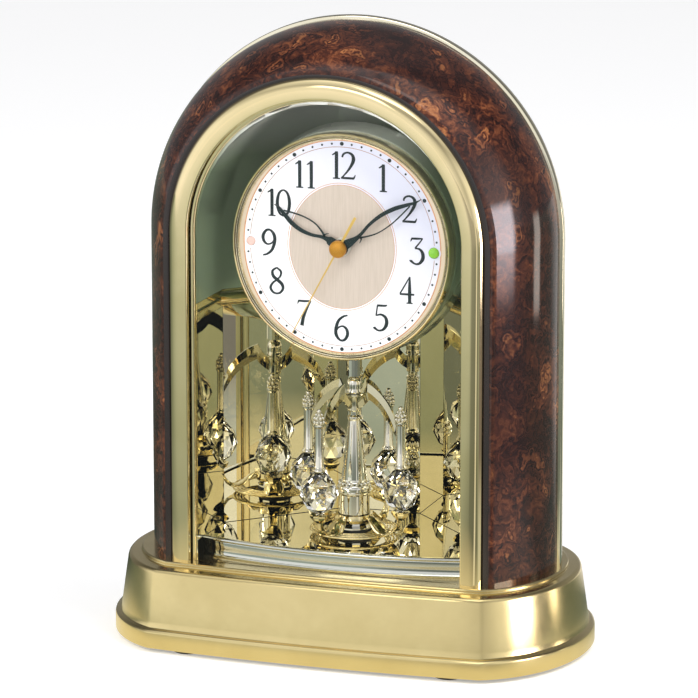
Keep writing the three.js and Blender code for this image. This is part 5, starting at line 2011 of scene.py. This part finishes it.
@dataclass
class RearWorks:
    """Drive, controls, cells, screws and aerial."""

    crease: float = 34.0
    rows: tuple[tuple[str, Paint, str, Body], ...] = (
        ("battery_door", Paint.BLACK, "black_plastic", Body.DOOR),
        ("battery_cell_1", Paint.JACKET, "cell_jacket", Body.CLOCK),
        ("battery_cell_2", Paint.JACKET, "cell_jacket", Body.CLOCK),
        ("set_button", Paint.GREY, "grey_plastic", Body.SETTER),
        ("receive_button", Paint.GREY, "grey_plastic", Body.RECEIVER),
        ("rotation_switch", Paint.GREY, "grey_plastic", Body.SWITCH),
        ("control_board", Paint.BOARD, "board_green", Body.CLOCK),
        ("bar_antenna", Paint.WINDING, "coil_copper", Body.CLOCK),
        ("rear_screw_left", Paint.STEEL, "steel", Body.CLOCK),
        ("rear_screw_right", Paint.STEEL, "steel", Body.CLOCK),
        ("drive_motor", Paint.STEEL, "steel", Body.CLOCK),
        ("rotor_gear", Paint.WHITE, "white_plastic", Body.ORNAMENT),
        ("motor_pinion", Paint.WHITE, "white_plastic", Body.PINION),
        ("shaft_bush", Paint.GOLD, "bright_gold", Body.CLOCK),
    )

    def build(self) -> None:
        """Dresses the pieces at the back and under the stage."""
        for node, paint, slot, body in self.rows:
            settle(refined(node, self.crease), paint, slot, node, body=body)


# Light, floor and camera


@dataclass(frozen=True)
class Lamp:
    """A soft box that lights the clock and isn't mirrored in it."""

    name: str
    spot: Point
    width: float
    height: float
    power: float

    def hang(self, centre: Point) -> None:
        """Hangs the lamp and aims it.

        Args:
            centre: The point that it is aimed at, in metres.
        """
        data = bpy.data.lights.new(self.name, "AREA")
        data.shape = "RECTANGLE"
        data.size, data.size_y, data.energy = self.width, self.height, self.power
        lamp = bpy.data.objects.new(self.name, data)
        bpy.context.collection.objects.link(lamp)
        lamp.location = self.spot
        aim = Vector(centre) - Vector(self.spot)
        lamp.rotation_euler = aim.to_track_quat("-Z", "Y").to_euler()
        lamp.visible_glossy = False


@dataclass(frozen=True)
class Card:
    """A soft-edged glowing card that only the clock's gloss sees."""

    name: str
    azimuth: float
    distance: float
    height: float
    width: float
    tall: float
    lean: float
    strength: float
    tint: Colour
    fade: Flat = (0.34, 0.5)

    def stand(self) -> None:
        """Stands the card at its azimuth, facing the clock."""
        around = math.radians(self.azimuth)
        across, back = self.distance * math.sin(around), -self.distance * math.cos(around)
        deselect()
        bpy.ops.mesh.primitive_plane_add(
            size=1.0,
            location=(across, back, self.height),
            rotation=(math.radians(90 - self.lean), 0, around),
        )
        card = bpy.context.object
        card.name = self.name
        card.scale = (self.width, self.tall, 1.0)
        card.data.materials.append(self.glow())
        for ray in ("camera", "diffuse", "transmission", "volume_scatter", "shadow"):
            setattr(card, f"visible_{ray}", False)

    def glow(self) -> bpy.types.Material:
        """Builds a material that glows in its middle and fades out to clear at its edges.

        Returns:
            The material.
        """
        material = bpy.data.materials.new(self.name)
        material.use_nodes = True
        graph = Graph(material.node_tree)
        graph.tree.nodes.clear()
        sides = []
        for way in graph.parts(graph.add("TexCoord").outputs["UV"])[:2]:
            off = graph.math("ABSOLUTE", graph.math("SUBTRACT", way, 0.5))
            sides.append(graph.spread(off, *self.fade, 1.0, 0.0))
        glow = graph.add("Emission", {"Color": self.tint, "Strength": self.strength}).outputs[0]
        clear = graph.add("BsdfTransparent").outputs[0]
        share = graph.math("MULTIPLY", *sides)
        blend = graph.add("MixShader", {0: share, 1: clear, 2: glow}).outputs[0]
        graph.add("OutputMaterial", {"Surface": blend})
        return material


@dataclass(frozen=True)
class Floor:
    """A pale floor that keeps the shadow, and the darker floor that the gloss sees.

    The ramps named after a side run once round the clock, from behind it over its left, its
    front and its right.
    """

    radius: float = 9.0
    white: Colour = (0.86, 0.86, 0.86, 1.0)
    lift: float = 0.3
    near: float = -2.0
    far: float = 3.0
    depths: tuple[Flat, ...] = (
        (-2.0, 1.05), (-1.2, 0.92), (-0.84, 0.6), (-0.3, 0.42), (-0.05, 0.26), (0.3, 0.17), (1.0, 0.18),
        (3.0, 0.3),
    )
    front: tuple[Flat, ...] = ((0.475, 1.0), (0.51, 0.45), (0.64, 0.4), (0.67, 1.0))
    right: tuple[Flat, ...] = ((0.665, 0.0), (0.69, 1.0), (0.77, 1.0), (0.81, 0.0))
    right_near: Colour = (0.62, 0.64, 0.6, 1.0)
    right_far: Colour = (0.2, 0.18, 0.18, 1.0)
    left: tuple[Flat, ...] = ((0.0, 1.0), (0.17, 1.0), (0.22, 0.0), (1.0, 0.0))
    left_tint: Colour = (0.05, 0.07, 0.056, 1.0)
    behind: tuple[Flat, ...] = ((0.0, 1.0), (0.02, 0.0), (0.888, 0.0), (0.925, 1.0))
    behind_tint: Colour = (1.0, 0.98, 0.94, 1.0)
    streak: tuple[Flat, ...] = ((0.6, 0.0), (0.608, 0.8), (0.62, 0.8), (0.63, 0.0))
    streak_tint: Colour = (1.0, 0.98, 0.92, 1.0)
    lit: tuple[Flat, ...] = ((0.0, 0.0), (0.17, 0.0), (0.24, 1.0), (1.0, 1.0))
    lit_tint: Colour = (0.98, 0.9, 0.66, 1.0)

    def mirrored(self, graph: Graph) -> Socket:
        """Draws the floor as the gloss sees it.

        Args:
            graph: The material's nodes.

        Returns:
            The colour.
        """
        where = graph.here()
        x, depth, _ = graph.parts(where)
        reach = graph.add("VectorMath", {0: where}, operation="LENGTH").outputs["Value"]
        turned = graph.math("ARCTAN2", x, graph.math("MULTIPLY", depth, -1.0))
        turned = graph.spread(turned, -math.pi, math.pi)
        run = self.far - self.near
        tinted = [
            ((y - self.near) / run, (v * (0.8 + 0.2 * v), v, v * (0.78 + 0.22 * v), 1.0))
            for y, v in self.depths
        ]
        floor = graph.ramp(graph.spread(depth, self.near, self.far), tinted)
        floor = graph.mix(1.0, floor, graph.ramp(turned, self.front), "MULTIPLY")
        right = graph.mix(graph.spread(reach, 0.32, 0.5), self.right_near, self.right_far)
        floor = graph.mix(graph.ramp(turned, self.right), floor, right)
        left = graph.math(
            "MULTIPLY", graph.ramp(turned, self.left), graph.spread(reach, 0.45, 0.8, 1.0, 0.0)
        )
        floor = graph.mix(left, floor, self.left_tint)
        floor = graph.mix(graph.ramp(turned, self.behind), floor, self.behind_tint)
        floor = graph.mix(graph.ramp(turned, self.streak), floor, self.streak_tint)
        close = graph.spread(reach, 0.13, 0.3, 1.0, 0.0)
        lit = graph.math("MULTIPLY", close, graph.spread(depth, -0.02, 0.1, 1.0, 0.0))
        lit = graph.math("MULTIPLY", lit, graph.ramp(turned, self.lit))
        return graph.mix(lit, floor, self.lit_tint)

    def lay(self) -> None:
        """Lays the floor."""
        deselect()
        bpy.ops.mesh.primitive_circle_add(
            vertices=96, radius=self.radius, fill_type="NGON", location=(0, 0, 0)
        )
        floor = bpy.context.object
        floor.name = "floor"
        material = bpy.data.materials.new("floor")
        material.use_nodes = True
        graph = Graph(material.node_tree)
        path = graph.add("LightPath").outputs
        glossy = path["Is Glossy Ray"]
        clear = graph.math("MAXIMUM", path["Is Camera Ray"], path["Is Transmission Ray"])
        values = {
            "Roughness": 0.9,
            "Specular IOR Level": 0.0,
            "Base Color": graph.mix(glossy, self.white, BLACK),
            "Emission Color": graph.mix(glossy, WHITE, self.mirrored(graph)),
            "Emission Strength": graph.math("ADD", graph.math("MULTIPLY", clear, self.lift), glossy),
        }
        for key, value in values.items():
            graph.feed(material.node_tree.nodes["Principled BSDF"].inputs[key], value)
        floor.data.materials.append(material)


@dataclass
class Studio:
    """White sweep, soft boxes and the camera."""

    position: Point = (0.6756, -1.9683, 0.6041)
    yaw: float = 19.01
    tilt: float = 12.68
    lens: float = 239.0
    centre: Point = (0.0, 0.0, 0.14)
    ambient: Colour = (0.62, 0.62, 0.63, 1.0)
    walls: tuple[Flat, ...] = (
        (0.0, 0.95), (0.08, 1.0), (0.16, 1.12), (0.23, 1.0), (0.27, 0.4), (0.31, 0.14), (0.38, 0.2),
        (0.46, 0.32), (0.56, 0.3), (0.64, 0.16), (0.7, 0.3), (0.74, 1.15), (0.84, 1.05), (0.9, 0.6),
        (0.95, 0.8), (1.0, 0.95),
    )
    heights: tuple[Flat, ...] = ((0.0, 1.0), (0.35, 0.95), (0.6, 0.5), (0.8, 0.75), (1.0, 1.1))
    lamps: tuple[Lamp, ...] = (
        Lamp("key_box", (-0.5, -1.7, 1.25), 1.0, 1.0, 19.0),
        Lamp("side_strip", (1.2, -0.35, 1.5), 0.8, 1.0, 18.0),
        Lamp("front_fill", (0.1, -2.7, 0.55), 1.4, 0.7, 17.0),
    )
    cards: tuple[Card, ...] = (
        Card("side_card", 84.0, 0.85, 0.19, 0.36, 0.36, 0.0, 11.5, (1.0, 0.9, 0.95, 1.0)),
        Card("rear_card", 119.0, 0.85, 0.1, 0.13, 0.26, 0.0, 4.0, (1.0, 0.9, 0.8, 1.0)),
        Card("front_card", -12.0, 1.7, 1.1, 0.8, 0.6, 30.0, 2.6, (1.0, 0.98, 0.94, 1.0)),
        Card("top_card", 25.0, 0.6, 1.3, 0.8, 0.5, 62.0, 2.4, (1.0, 0.99, 0.96, 1.0)),
    )

    def build(self) -> None:
        """Sets up everything round the clock."""
        self.make_camera()
        Floor().lay()
        self.make_world()
        for lamp in self.lamps:
            lamp.hang(self.centre)
        for card in self.cards:
            card.stand()
        bpy.context.scene.view_settings.view_transform = "Standard"

    def make_camera(self) -> None:
        """Stands the camera at the photograph's viewpoint."""
        data = bpy.data.cameras.new("camera")
        data.lens, data.sensor_width = self.lens, 36.0
        data.clip_start, data.clip_end = 0.05, 60.0
        camera = bpy.data.objects.new("camera", data)
        bpy.context.collection.objects.link(camera)
        camera.location = self.position
        camera.rotation_euler = (math.radians(90 - self.tilt), 0, math.radians(self.yaw))
        bpy.context.scene.camera = camera

    def make_world(self) -> None:
        """White to the camera, a studio of bright and dim walls to the gloss, soft to the rest."""
        world = bpy.data.worlds.new("studio")
        bpy.context.scene.world = world
        world.use_nodes = True
        world.node_tree.nodes.clear()
        graph = Graph(world.node_tree)
        x, y, up = graph.parts(graph.add("TexCoord").outputs["Generated"])
        turned = graph.spread(graph.math("ARCTAN2", x, y), -math.pi, math.pi)
        walls = graph.ramp(turned, self.walls)
        gloss = graph.mix(1.0, walls, graph.ramp(up, self.heights), "MULTIPLY")
        path = graph.add("LightPath").outputs
        plain = graph.mix(path["Is Glossy Ray"], self.ambient, gloss)
        clear = graph.math("MAXIMUM", path["Is Camera Ray"], path["Is Transmission Ray"])
        inputs = {"Color": graph.mix(clear, plain, WHITE), "Strength": 1.0}
        background = graph.add("Background", inputs)
        graph.add("OutputWorld", {"Surface": background.outputs[0]})


def main() -> None:
    """Builds the clock, then its studio."""
    logging.basicConfig(level=logging.INFO, format="%(name)s %(message)s")
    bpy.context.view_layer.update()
    for part in (Plinth(), ArchedCase(), MirrorBay(), Dial(), Hands(), Ornament(), RearWorks()):
        LOG.info("building %s", type(part).__name__)
        part.build()
    Studio().build()


if __name__ == "__main__":
    main()
